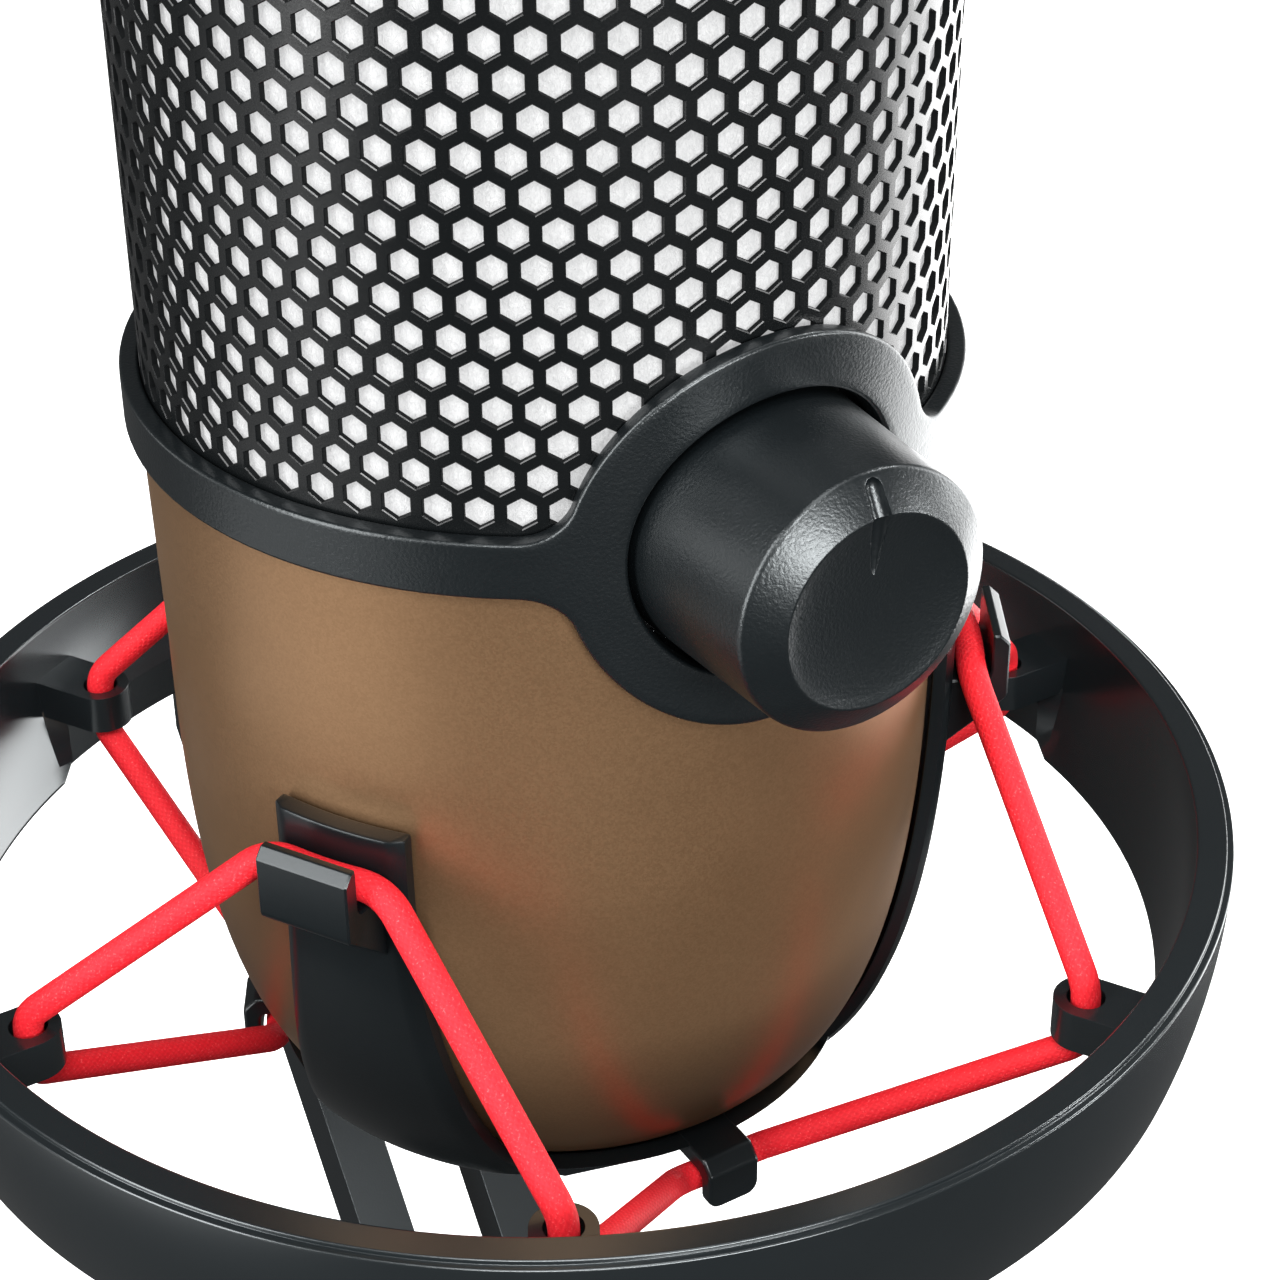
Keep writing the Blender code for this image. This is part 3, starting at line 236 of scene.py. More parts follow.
def swept(name, path, radii, around):               # a round section carried along a path, with its own UV map
    path = [Vector(p) for p in path]
    points, faces, uvs = [], [], []
    side = None
    run = [0.0]
    for a, b in zip(path, path[1:]):
        run.append(run[-1] + (b - a).length)
    for i, p in enumerate(path):
        ahead = (path[min(i + 1, len(path) - 1)] - path[max(i - 1, 0)]).normalized()
        if side is None:
            side = ahead.orthogonal().normalized()
        side = (side - ahead * side.dot(ahead)).normalized()
        other = ahead.cross(side)
        for k in range(around):
            a = 2 * pi * k / around
            points.append(p + (side * cos(a) + other * sin(a)) * radii[i])
    for i in range(len(path) - 1):
        for k in range(around):
            n = (k + 1) % around
            faces.append((i * around + k, i * around + n, (i + 1) * around + n, (i + 1) * around + k))
            uvs.append([(run[i], k), (run[i], k + 1), (run[i + 1], k + 1), (run[i + 1], k)])
    last = (len(path) - 1) * around
    faces += [tuple(range(around))[::-1], tuple(range(last, last + around))]
    uvs += [[(run[0], k) for k in range(around)][::-1], [(run[-1], k) for k in range(around)]]
    mesh = bpy.data.meshes.new(name)
    mesh.from_pydata(points, [], faces)
    layer = mesh.uv_layers.new(name="alongCord")
    for face, corners in zip(mesh.polygons, uvs):
        for loop, uv in zip(face.loop_indices, corners):
            layer.data[loop].uv = (uv[0] / 1000, uv[1] / around)
    obj = bpy.data.objects.new(name, mesh)
    bpy.context.collection.objects.link(obj)
    return obj


def onRound(azimuth, radius, height=0):             # azimuth 0 is the knob side, positive towards +X
    a = radians(azimuth)
    return Vector((radius * sin(a), -radius * cos(a), height))


def placed(obj, body, finish, *nodes, slot=None):
    if finish:
        obj.data.materials.clear()
        obj.data.materials.append(finish)
    if body:
        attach(obj, body)
    if nodes:
        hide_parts(*nodes)


# finishes

class Wire:                                         # a socket that can be used in sums
    def __init__(self, look, socket):
        self.look, self.socket = look, socket

    def sum(self, operation, a, b):
        return self.look.node("Math", {"operation": operation}, {0: a, 1: b})

    def __add__(self, other): return self.sum("ADD", self, other)
    def __radd__(self, other): return self.sum("ADD", other, self)
    def __sub__(self, other): return self.sum("SUBTRACT", self, other)
    def __rsub__(self, other): return self.sum("SUBTRACT", other, self)
    def __mul__(self, other): return self.sum("MULTIPLY", self, other)
    def __rmul__(self, other): return self.sum("MULTIPLY", other, self)


class Look:                                         # one material
    def __init__(self, name):
        self.material = bpy.data.materials.new(name)
        self.material.use_nodes = True
        self.tree = self.material.node_tree
        self.tree.nodes.clear()

    def node(self, kind, settings=None, sockets=None, output=0):
        made = self.tree.nodes.new("ShaderNode" + kind)
        for key, value in (settings or {}).items():
            if key == "stops":
                ramp = made.color_ramp
                while len(ramp.elements) < len(value):
                    ramp.elements.new(0.5)
                for stop, (place, colour) in zip(ramp.elements, value):
                    stop.position, stop.color = place, colour
            else:
                setattr(made, key, value)
        for key, value in (sockets or {}).items():
            if isinstance(value, Wire):
                self.tree.links.new(value.socket, made.inputs[key])
            else:
                made.inputs[key].default_value = value
        return Wire(self, made.outputs[output]) if made.outputs else None

    def place(self, scale=(1, 1, 1)):
        where = self.node("TexCoord", output="Object")
        return self.node("Mapping", {}, {"Vector": where, "Scale": scale})

    def grain(self, scale, detail=2.0, rough=0.5):
        return self.node("TexNoise", {}, {"Vector": self.place(), "Scale": scale, "Detail": detail,
                                          "Roughness": rough}, "Fac")

    def mixed(self, share, a, b):
        return self.node("Mix", {"data_type": "RGBA"}, {0: share, 6: a, 7: b}, 2)

    def bump(self, height, strength, distance):
        return self.node("Bump", {}, {"Height": height, "Strength": strength, "Distance": distance}, "Normal")

    def done(self, **sockets):
        shader = self.node("BsdfPrincipled", {}, {key.replace("_", " "): v for key, v in sockets.items()})
        self.node("OutputMaterial", {}, {"Surface": shader})
        return self.material


def paint(r, g, b):                                 # screen values to the shader's linear colour
    def line(c):
        c /= 255
        return c / 12.92 if c <= 0.04045 else ((c + 0.055) / 1.055) ** 2.4
    return (line(r), line(g), line(b), 1.0)


coolSheen = (0.93, 0.985, 1.0, 1.0)


def mouldedPlastic(name, dark, light, rough, grainSize, depth, gloss=0.62, speckle=0.08):
    look = Look(name)
    fine = look.grain(1 / grainSize, 2.0, 0.55)
    broad = look.grain(90, 3.0)
    wear = look.grain(420, 4.0, 0.6)
    colour = look.mixed(broad * 0.7 + wear * 0.3, paint(*dark), paint(*light))
    uneven = (fine - 0.5) * speckle + (broad - 0.5) * speckle * 0.75
    return look.done(Base_Color=colour, Roughness=rough + uneven, Specular_IOR_Level=gloss,
                     Specular_Tint=coolSheen, Normal=look.bump(fine, 0.6, depth))


# name, dark and light screen colour, roughness, size and depth of the grain in metres, gloss, speckle
charcoal = mouldedPlastic("mouldedCharcoal", (7, 11, 13), (12, 16, 18), 0.32, 0.00027, 0.00005)
cradlePlastic = mouldedPlastic("cradleCharcoal", (9, 13, 15), (14, 18, 20), 0.30, 0.00022, 0.00001, 0.45, 0.04)
ringPlastic = mouldedPlastic("satinCharcoal", (17, 21, 23), (22, 26, 28), 0.23, 0.00040, 0.0000002, 0.85, 0.01)
baseBlack = mouldedPlastic("baseBlack", (17, 19, 20), (22, 24, 25), 0.48, 0.00030, 0.00003, 0.3)
lockPlastic = mouldedPlastic("lockPlastic", (16, 18, 19), (23, 25, 26), 0.40, 0.00028, 0.00003, 0.4)
frameBlack = mouldedPlastic("frameBlack", (22, 22, 23), (30, 30, 31), 0.48, 0.0003, 0.00003, 0.4)
rubber = mouldedPlastic("rubberPad", (20, 20, 20), (28, 28, 27), 0.76, 0.0004, 0.00004, 0.3)


bronzeLook = {"dark": (123, 94, 67), "light": (153, 121, 90), "metal": 0.75, "rough": 0.33, "gloss": 0.3,
              "flakes": 6500.0, "cloud": 55, "grain": 7000, "depth": 0.000012}


def bronzeFinish():
    s = bronzeLook
    look = Look("satinBronze")
    flake = look.node("TexVoronoi", {"feature": "F1"}, {"Vector": look.place(), "Scale": s["flakes"]}, "Color")
    spark = look.node("SeparateColor", {}, {"Color": flake}, "Red")
    cloud = look.grain(s["cloud"], 2.0)
    fine = look.grain(s["grain"], 2.0)
    base = look.mixed(spark * 0.28 + cloud * 0.5, paint(*s["dark"]), paint(*s["light"]))
    return look.done(Base_Color=base, Metallic=s["metal"], Roughness=s["rough"] + spark * 0.05 + cloud * 0.04,
                     Specular_IOR_Level=s["gloss"], Normal=look.bump(fine, 0.35, s["depth"]))


cordLook = {"dark": (203, 16, 28), "light": (229, 34, 46), "fleck": (255, 110, 114), "strands": 14, "lay": 9000.0,
            "braidDepth": 0.00006}


def cordFinish():
    s = cordLook
    look = Look("redBraid")
    where = look.node("UVMap", {"uv_map": "alongCord"}, {}, "UV")
    along = look.node("SeparateXYZ", {}, {"Vector": where}, "X")
    around = look.node("SeparateXYZ", {}, {"Vector": where}, "Y")

    def wave(value):
        return look.node("Math", {"operation": "SINE"}, {0: value})

    strands = s["strands"] * 2 * pi
    left = wave(around * strands + along * s["lay"]) * 0.5 + 0.5
    right = wave(around * strands - along * s["lay"]) * 0.5 + 0.5
    over = wave(along * s["lay"]) * wave(around * strands) * 0.5 + 0.5
    height = left * over + right * (1 - over)
    speck = look.grain(5200, 2.0)
    fibre = look.grain(900, 3.0)
    # darker where the braid runs low: painted shade between the strands, mixed with a random fibre tone
    base = look.mixed(height * 0.55 + fibre * 0.45, paint(*s["dark"]), paint(*s["light"]))
    pale = look.node("ValToRGB", {"stops": [(0.60, (0, 0, 0, 1)), (0.74, (1, 1, 1, 1))]}, {"Fac": speck}, 0)
    pale = look.node("SeparateColor", {}, {"Color": pale}, "Red")
    base = look.mixed(pale * 0.45, base, paint(*s["fleck"]))
    return look.done(Base_Color=base, Roughness=0.62 + fibre * 0.15, Specular_IOR_Level=0.3,
                     Normal=look.bump(height + fibre * 0.3, 0.5, s["braidDepth"]))


def grilleFinish(name, rough, gloss):
    look = Look(name)
    fine = look.grain(5200, 2.0)
    broad = look.grain(70, 2.0)
    base = look.mixed(broad, paint(5, 7, 8), paint(9, 11, 12))
    return look.done(Base_Color=base, Roughness=rough + fine * 0.08 + broad * 0.05, Specular_IOR_Level=gloss,
                     Normal=look.bump(fine, 0.5, 0.000008))


feltLook = {"dark": (106, 107, 108), "light": (169, 169, 169), "glow": 1.6, "stretch": (1, 1, 0.55),
            "fibre": 3400.0, "tuft": 700, "nap": 0.00018}


def feltFinish():
    look = Look("whiteFelt")
    s = feltLook
    fibre = look.node("TexNoise", {}, {"Vector": look.place(s["stretch"]), "Scale": s["fibre"], "Detail": 6.0,
                                       "Roughness": 0.7, "Distortion": 1.6}, "Fac")
    tuft = look.grain(s["tuft"], 3.0)
    base = look.mixed(fibre * 0.8 + tuft * 0.2, paint(*s["dark"]), paint(*s["light"]))
    # painted light: the foam gives off a glow in its own colour, though it is no lamp
    return look.done(Base_Color=base, Roughness=0.95, Specular_IOR_Level=0.1, Emission_Color=base,
                     Emission_Strength=s["glow"], Normal=look.bump(fibre + tuft * 0.15, 1.0, s["nap"]))


def metalFinish(name, dark, light, rough, scale):
    look = Look(name)
    brushed = look.node("TexNoise", {}, {"Vector": look.place((1, 1, 0.08)), "Scale": scale, "Detail": 3.0}, "Fac")
    broad = look.grain(120, 3.0)
    base = look.mixed(brushed * 0.6 + broad * 0.4, paint(*dark), paint(*light))
    return look.done(Base_Color=base, Metallic=1.0, Roughness=rough + brushed * 0.1 + broad * 0.06,
                     Normal=look.bump(brushed, 0.3, 0.00001))


def boardFinish():
    look = Look("boardGreen")
    tracks = {"Vector": look.place((260, 260, 260)), "Scale": 1.0, "Mortar Size": 0.06, "Color1": paint(18, 74, 44),
              "Color2": paint(22, 84, 52), "Mortar": paint(48, 120, 70)}
    trace = look.node("TexBrick", {"offset": 0.35}, tracks, "Color")
    weave = look.grain(1800, 2.0)
    base = look.mixed(weave * 0.25, trace, paint(12, 52, 32))
    return look.done(Base_Color=base, Roughness=0.35 + weave * 0.15, Normal=look.bump(weave, 0.3, 0.00002))


bronze, redCord, felt = bronzeFinish(), cordFinish(), feltFinish()
grilleBlack = grilleFinish("grillePowderCoat", 0.20, 0.42)
holeBlack = grilleFinish("grilleHoleWalls", 0.55, 0.12)
steel = metalFinish("screwSteel", (150, 150, 152), (190, 190, 192), 0.25, 2400)
blackSteel = metalFinish("blackenedSteel", (40, 40, 42), (62, 62, 64), 0.34, 2400)
zinc = metalFinish("castZinc", (120, 121, 124), (150, 151, 154), 0.45, 900)
brass = metalFinish("brass", (188, 146, 70), (214, 174, 96), 0.26, 1800)
boardGreen = boardFinish()
print("finishes mixed")


# camera where the photograph was taken from

viewpoint = {"place": (-0.10695, -0.18792, 0.30046), "tilt": 57.298, "turn": -32.43, "lens": 85.107, "sensor": 36,
             "shift": (-0.02804, -0.01227), "near": 0.01}

camera = bpy.data.objects.new("photoCamera", bpy.data.cameras.new("photoCamera"))
bpy.context.collection.objects.link(camera)
camera.location = viewpoint["place"]
camera.rotation_euler = (radians(viewpoint["tilt"]), 0, radians(viewpoint["turn"]))
camera.data.lens, camera.data.sensor_width = viewpoint["lens"], viewpoint["sensor"]
camera.data.shift_x, camera.data.shift_y = viewpoint["shift"]
camera.data.clip_start = viewpoint["near"]
bpy.context.scene.camera = camera


# suspension ring with its six lugs

ringShape = {"radius": 58.9, "wall": 3.2, "height": 16.0, "lean": 2.4, "step": 0.62, "drop": 0.36, "footBand": 0.7,
             "rows": (2, 4, 6, 8, 10, 12, 14), "reliefFrom": 88, "reliefTo": 212, "relief": 1.5, "rib": 53.3,
             "ribRows": (10, 12, 14), "steps": 240}
lugShape = {"circle": 49.9, "round": 2.7, "hole": 1.6, "top": -4.75, "foot": -8.55, "edge": 0.38, "reach": 56.6,
            "azimuths": (-150, -90, -30, 30, 90, 150)}


def ringOuter(z):
    return ringShape["radius"] - ringShape["lean"] * (z / ringShape["height"]) ** 2


def makeRing():
    s = ringShape
    outer = [(ringOuter(-z), -z) for z in s["rows"]]
    foot = ringOuter(s["height"])
    line = [(s["radius"] - s["wall"], 0, 0.28), (s["radius"] - s["step"], 0, 0.18),
            (s["radius"] - s["step"] + 0.02, -s["drop"], 0.05), (s["radius"], -s["drop"] - 0.06, 0.18)] + outer
    line += [(foot, -s["height"], 0.6), (foot - s["wall"], -s["height"], 0.6)]
    line += [(ringOuter(-z) - s["wall"], -z) for z in s["rows"][::-1]]
    ring = spun("suspensionRing", eased(line), s["steps"])

    def inRear(p):
        return s["reliefFrom"] < degrees(atan2(p.x, -p.y)) % 360 < s["reliefTo"]

    # the rear part of the lower edge stands a little higher
    pickPoints(ring, lambda p: p.z < -s["height"] + s["footBand"] and inRear(p))
    bpy.ops.transform.translate(value=(0, 0, s["relief"]))
    leave()
    for depth in s["ribRows"]:                      # and is thicker inside, with an upright face
        inner = ringOuter(-depth) - s["wall"]
        pickPoints(ring, lambda p: inRear(p) and abs(p.z + depth) < 0.01 and hypot(p.x, p.y) < inner + 0.1)
        bpy.ops.transform.resize(value=(s["rib"] / inner, s["rib"] / inner, 1), center_override=(0, 0, 0))
        leave()
    lug = makeLug()
    for i, azimuth in enumerate(lugShape["azimuths"]):
        one = moved(twin(lug, "lug%d" % i), turn=(0, 0, azimuth))
        carved(ring, one, "UNION")
    bpy.data.objects.remove(lug)
    return settled(ring, smooth=28)


def makeLug():
    s = lugShape
    lug = rod("lug", s["round"], s["foot"], s["top"], 64)
    moved(lug, place=(0, -s["circle"], 0))
    pickPoints(lug, lambda p: p.y < -s["circle"] - 0.01)    # the outer half is drawn out to the ring wall
    bpy.ops.transform.resize(value=(1, 0, 1), center_override=(0, -s["reach"], 0))
    leave()
    hole = moved(rod("lugHole", s["hole"], s["foot"] - 1, s["top"] + 1, 48), place=(0, -s["circle"], 0))
    carved(cleaned(lug), hole)
    return edged(lug, s["edge"], 2, 50)


placed(makeRing(), "arm", ringPlastic, "suspension_ring", slot="ring_charcoal")
print("ring and lugs done")


# elastic cord: six lengths that meet inside the lugs

cordShape = {"radius": 1.25, "bend": 2.2, "bendSteps": 8, "around": 20, "step": 0.55, "lugTop": -3.75,
             "lugFoot": -9.55, "lugTurn": 30,
             "hook": (35.6, 14.35, 8.53), "hooksAt": (-60, 60, 180),    # radius, height, half angle
             "tail": (25.9, -24.7, 8.2), "tailsAt": (0, 120, -120)}


def roundedRoute(corners, bend, step):
    route = []
    corners = [Vector(c) for c in corners]
    for i, here in enumerate(corners):
        if i in (0, len(corners) - 1):
            route.append(here)
            continue
        before, after = corners[i - 1] - here, corners[i + 1] - here
        size = min(bend, before.length * 0.48, after.length * 0.48)
        route += bent(before, here, after, size, cordShape["bendSteps"])
    fine = [route[0]]
    for a, b in zip(route, route[1:]):
        pieces = max(1, ceil((b - a).length / step))
        fine += [a.lerp(b, k / pieces) for k in range(1, pieces + 1)]
    return fine


def makeCord(name, azimuth, upper):
    s = cordShape
    radius, height, spread = s["hook"] if upper else s["tail"]
    lead = s["lugTop"] if upper else s["lugFoot"]
    middle = (lugShape["top"] + lugShape["foot"]) / 2
    hole, turn = lugShape["circle"], s["lugTurn"]
    corners = [onRound(azimuth - turn, hole, middle), onRound(azimuth - turn, hole, lead),
               onRound(azimuth - spread, radius, height), onRound(azimuth, radius, height),
               onRound(azimuth + spread, radius, height), onRound(azimuth + turn, hole, lead),
               onRound(azimuth + turn, hole, middle)]
    route = roundedRoute(corners, s["bend"], s["step"])
    cord = settled(swept(name, route, [s["radius"]] * len(route), s["around"]), even=False, smooth=60)
    placed(cord, None, redCord, "elastic_cord", slot="red_cord")
    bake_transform(cord)


for i, azimuth in enumerate(cordShape["hooksAt"]):
    makeCord("cordUpper%d" % (i + 1), azimuth, True)
for i, azimuth in enumerate(cordShape["tailsAt"]):
    makeCord("cordLower%d" % (i + 1), azimuth, False)
print("elastic cord laced")


# bronze lower shell

knobShape = {"back": 27.9, "backRadius": 11.05, "edge": 44.1, "edgeRadius": 10.45, "face": 45.9, "dish": 7.7,
             "depth": 0.9, "dishSteps": 14, "hollow": 10.0, "hollowIn": 2.0, "skirt": 1.8, "grooveHalf": 0.72,
             "grooveFrom": 10.15, "grooveTo": 2.7, "lip": 0.08, "axis": 42.6, "pocketFrom": 15, "pocketTo": 40}
shellShape = {"radius": 32.0, "flare": 0.5, "bend": 20.0, "drop": 24.5, "curve": 2.5, "full": 0.172, "wall": 1.8,
              "mouth": 18.0, "top": 42.3, "rows": (34, 27, 20), "curveFrom": 18.0, "curveSteps": 30, "steps": 192,
              "pocket": 12.4}


def bodyRadius(z):
    s = shellShape
    if z > s["bend"]:
        return s["radius"] + s["flare"] * (z - s["bend"]) / (s["top"] - s["bend"])
    u = min(1.0, (s["bend"] - z) / (s["bend"] + s["drop"]))
    return s["radius"] * max(1e-6, 1 - u ** s["curve"]) ** s["full"]


def bodyHeight(radius):                             # where the curved foot has this radius
    s = shellShape
    u = (1 - (radius / s["radius"]) ** (1 / s["full"])) ** (1 / s["curve"])
    return s["bend"] - u * (s["bend"] + s["drop"])


def bodyLean(z):                                    # which way the wall runs at this height
    step = 0.02
    return Vector((bodyRadius(z + step) - bodyRadius(z - step), 2 * step)).normalized()


def bodyCurve(offset, high, lowRadius, count):      # (radius, height) points of the foot, from high down
    low = bodyHeight(lowRadius)
    line = []
    for k in range(count + 1):
        t = k / count
        z = high + (low - high) * (1 - (1 - t) ** 2.2)      # closer together towards the foot
        lean = bodyLean(z)
        line.append((bodyRadius(z) + lean.y * offset, z - lean.x * offset))
    return line


def knobPocket(name, radius, sides):                # a cutter for the hole behind the knob
    cutter = rod(name, radius, knobShape["pocketFrom"], knobShape["pocketTo"], sides)
    return moved(cutter, turn=(90, 0, 0), place=(0, 0, knobShape["axis"]))


def makeShell():
    s = shellShape
    outer = [(bodyRadius(s["top"]), s["top"], 0.2)] + [(bodyRadius(z), z) for z in s["rows"]]
    outer += bodyCurve(0, s["curveFrom"], s["mouth"], s["curveSteps"])
    inner = bodyCurve(-s["wall"], s["curveFrom"], s["mouth"] + 0.3, s["curveSteps"])[::-1]
    inner += [(bodyRadius(s["top"]) - s["wall"], s["top"])]
    shell = spun("lowerShell", eased(outer + inner, 2), s["steps"])
    carved(shell, knobPocket("shellPocket", s["pocket"], 96))
    return settled(shell, smooth=30)


placed(makeShell(), "microphone", bronze, "lower_shell", slot="bronze")
print("shell turned")


# cradle under the shell: cup, three arms with hooks, three tails

cradleShape = {"gap": 0.36, "wall": 1.74, "cupWall": 1.15, "cupLip": -21.4, "cupHole": 11.1, "cupFrom": 10.0,
               "cupSteps": 60, "armTop": 17.8, "armHalf": 5.9, "armFoot": 7.0, "armEnd": 20.5, "armSpread": 4.5,
               "grid": (24, 44), "thin": 0.6, "thinWidth": 0.9, "edge": 0.3}
hookShape = {"plate": 34.1, "sunk": 1.2, "floor": 12.8, "block": 7, "lipIn": 37.1, "lipOut": 38.6, "lipTop": 17.2,
             "lipFoot": 11.0, "chamfer": 0.85, "root": 6.8, "half": 4.1, "edge": 0.5}
tailShape = {"half": 2.5, "from": 21.5, "top": -21.35, "floor": -23.15, "foot": -26.3, "slack": 0.3, "lip": 1.5,
             "slope": 1.2, "corner": 1.2, "edge": 0.35}


def makeArm():
    s = cradleShape
    bpy.ops.object.select_all(action="DESELECT")
    bpy.ops.mesh.primitive_grid_add(x_subdivisions=s["grid"][0], y_subdivisions=s["grid"][1], size=2)
    arm = named("cradleArm")
    low = bodyHeight(s["armEnd"])
    applied(arm, "SOLIDIFY", thickness=s["wall"], offset=-1)
    for v in arm.data.vertices:                     # the flat plate is laid on the body, its long edges thinned
        t = (1 - v.co.y) / 2
        z = s["armTop"] + (low - s["armTop"]) * (1 - (1 - t) ** 1.5)
        down = min(1.0, max(0.0, (s["armFoot"] - z) / (s["armFoot"] - low)))
        half = s["armHalf"] + s["armSpread"] * down ** 1.4
        lean = bodyLean(z)
        x = max(-1.0, min(1.0, v.co.x)) * half
        offset = s["gap"]
        if v.co.z > -s["wall"] / 2:
            offset += s["wall"] - s["thin"] * max(0.0, 1 - (half - abs(x)) / s["thinWidth"])
        radius, height = bodyRadius(z) + lean.y * offset, z - lean.x * offset
        v.co = onRound(degrees(x / radius), radius, height)
    return edged(cleaned(arm), s["edge"], 2, 50)


def makeHook():
    s = hookShape
    back, slope = s["plate"] - s["sunk"], s["chamfer"]
    line = [(back, s["floor"] - s["block"]), (back, s["floor"]), (s["plate"] + 0.1, s["floor"], 0.5),
            (s["lipIn"], s["floor"], 0.9), (s["lipIn"], s["lipTop"], 0.2), (s["lipOut"] - slope, s["lipTop"], 0.12),
            (s["lipOut"], s["lipTop"] - slope, 0.12), (s["lipOut"], s["lipFoot"], 0.4),
            (s["plate"] - 0.2, s["root"])]
    hook = slabOf("hook", eased(line, 3), -s["half"], s["half"])
    return moved(edged(hook, s["edge"], 1, 50), turn=(0, 0, -90))


def makeTail():
    s = tailShape
    cord, r = cordShape["tail"][0], cordShape["radius"]
    lipIn, lipOut = cord + r + s["slack"], cord + r + s["slack"] + s["lip"]
    line = [(s["from"], s["floor"]), (cord - r - s["slack"], s["floor"], 0.3), (lipIn, s["floor"], 0.8),
            (lipIn, s["foot"]), (lipOut, s["foot"]), (lipOut, s["top"] - s["slope"], 0.35),
            (lipOut - s["slope"], s["top"], 0.35), (s["from"], s["top"])]
    tail = slabOf("tail", eased(line, 3), -s["half"], s["half"])
    pickEdges(tail, lambda a, b: abs(a.y - b.y) < 0.01 and max(a.z, b.z) < s["foot"] + 0.01)
    bpy.ops.mesh.bevel(offset=s["corner"], segments=5, affect="EDGES")
    leave()
    return moved(edged(tail, s["edge"], 3, 40), turn=(0, 0, -90))


def makeCradle():
    s = cradleShape
    reach = (s["cupFrom"], s["cupHole"], s["cupSteps"])
    inner = [p for p in bodyCurve(s["gap"], *reach) if p[1] < s["cupLip"]]
    outer = [p for p in bodyCurve(s["gap"] + s["cupWall"], *reach) if p[1] < s["cupLip"]]
    lip = [(inner[0][0], s["cupLip"], 0.3), (outer[0][0] + 0.4, s["cupLip"], 0.6)]
    line = lip + outer + inner[::-1]
    cradle = spun("hookCradle", eased(line, 3), 160)
    parts = []
    hooks, tails = cordShape["hooksAt"], cordShape["tailsAt"]
    for part, azimuths in ((makeArm(), hooks), (makeHook(), hooks), (makeTail(), tails)):
        parts += [moved(twin(part, part.name + str(a)), turn=(0, 0, a)) for a in azimuths]
        bpy.data.objects.remove(part)
    return settled(joined(cradle, parts), smooth=32)


placed(makeCradle(), "microphone", cradlePlastic, "cradle", slot="charcoal")
print("cradle done")


# collar with the surround of the knob

collarShape = {"radius": 33.6, "wall": 1.55, "middle": 42.6, "half": 2.275, "surround": 15.9, "fillet": 4.0,
               "hole": 11.6, "edge": 0.3, "rows": 5, "backSteps": 44, "joinSteps": 8, "joinTo": 6, "sleeve": 0.65,
               "sleeveBack": 26.5, "sleeveFront": 40, "sleeveInset": 0.7}


def surroundOutline():                              # upper outline seen from the front: strip, fillet, disc
    s = collarShape
    base, r, f = s["half"], s["surround"], s["fillet"]
    across = sqrt((r + f) ** 2 - (base + f) ** 2)   # centre of the fillet
    start = atan2(base + f, across)
    line = []
    for k in range(11):                             # along the fillet, from the strip to the disc
        a = -pi / 2 - (pi / 2 - start) * k / 10
        line.append((across + f * cos(a), base + f + f * sin(a)))
    for k in range(1, 31):
        a = start + (pi / 2 - start) * k / 30
        line.append((r * cos(a), r * sin(a)))
    return line                                     # right half, from the strip inwards to the top


def makeCollar():
    s = collarShape
    front = surroundOutline()
    count = len(front)
    inner = []
    for k in range(count):
        a = (pi / 2) * k / (count - 1)
        inner.append((s["hole"] * cos(a), s["hole"] * sin(a)))
    rows, steps = s["rows"], s["backSteps"]
    start = degrees(asin(front[0][0] / s["radius"]))
    back = [start + (180 - start) * k / steps for k in range(1, steps + 1)]
    inAz = [(degrees(asin(x / s["radius"])), z) for x, z in inner]
    outAz = [(degrees(asin(x / s["radius"])), z) for x, z in front]
    holeAz, joinAz = inAz[0][0], back[s["joinTo"]]
    line = []                                       # (inner, outer) points from the top of the disc to the back
    for k in range(count - 1, -1, -1):
        line.append((inAz[k], outAz[k]))
    for k in range(1, s["joinSteps"] + 1):
        t = k / s["joinSteps"]
        line.append(((holeAz + (joinAz - holeAz) * t, 0.0), (start + (joinAz - start) * t, s["half"])))
    for azimuth in back[s["joinTo"] + 1:]:
        line.append(((azimuth, 0.0), (azimuth, s["half"])))
    points, faces = [], []
    for a, b in line:
        for j in range(rows + 1):
            t = j / rows
            points.append(onRound(a[0] + (b[0] - a[0]) * t, s["radius"], a[1] + (b[1] - a[1]) * t))
    for i in range(len(line) - 1):
        for j in range(rows):
            n = i * (rows + 1) + j
            faces.append((n, n + 1, n + rows + 2, n + rows + 1))
    mesh = bpy.data.meshes.new("knobCollar")
    mesh.from_pydata(points, [], faces)
    collar = bpy.data.objects.new("knobCollar", mesh)
    bpy.context.collection.objects.link(collar)
    applied(collar, "MIRROR", use_axis=(True, False, True), merge_threshold=0.001)
    facingOut(cleaned(collar))
    applied(collar, "SOLIDIFY", thickness=s["wall"], offset=-1)
    edged(collar, s["edge"], 3, 50)
    hole, back, tip = s["hole"] + 0.02, s["sleeveBack"], s["sleeveFront"]
    sleeve = spun("sleeve", [(hole, back), (hole + s["sleeve"], back), (hole + s["sleeve"], tip), (hole, tip)], 96)
    moved(sleeve, turn=(90, 0, 0))                  # a short tube behind the hole hides the inside
    carved(sleeve, rod("sleeveEnd", s["radius"] - s["sleeveInset"], -20, 20, 160), "INTERSECT")
    return settled(joined(collar, [sleeve]), rimHeight + s["middle"], smooth=40)


placed(makeCollar(), "microphone", charcoal, "collar", slot="charcoal")
print("collar done")


# gain knob on the front, its groove pointing up

def dishDepth(r):
    s = knobShape
    return s["face"] - s["depth"] * (1 - (r / s["dish"]) ** 2) ** 0.8


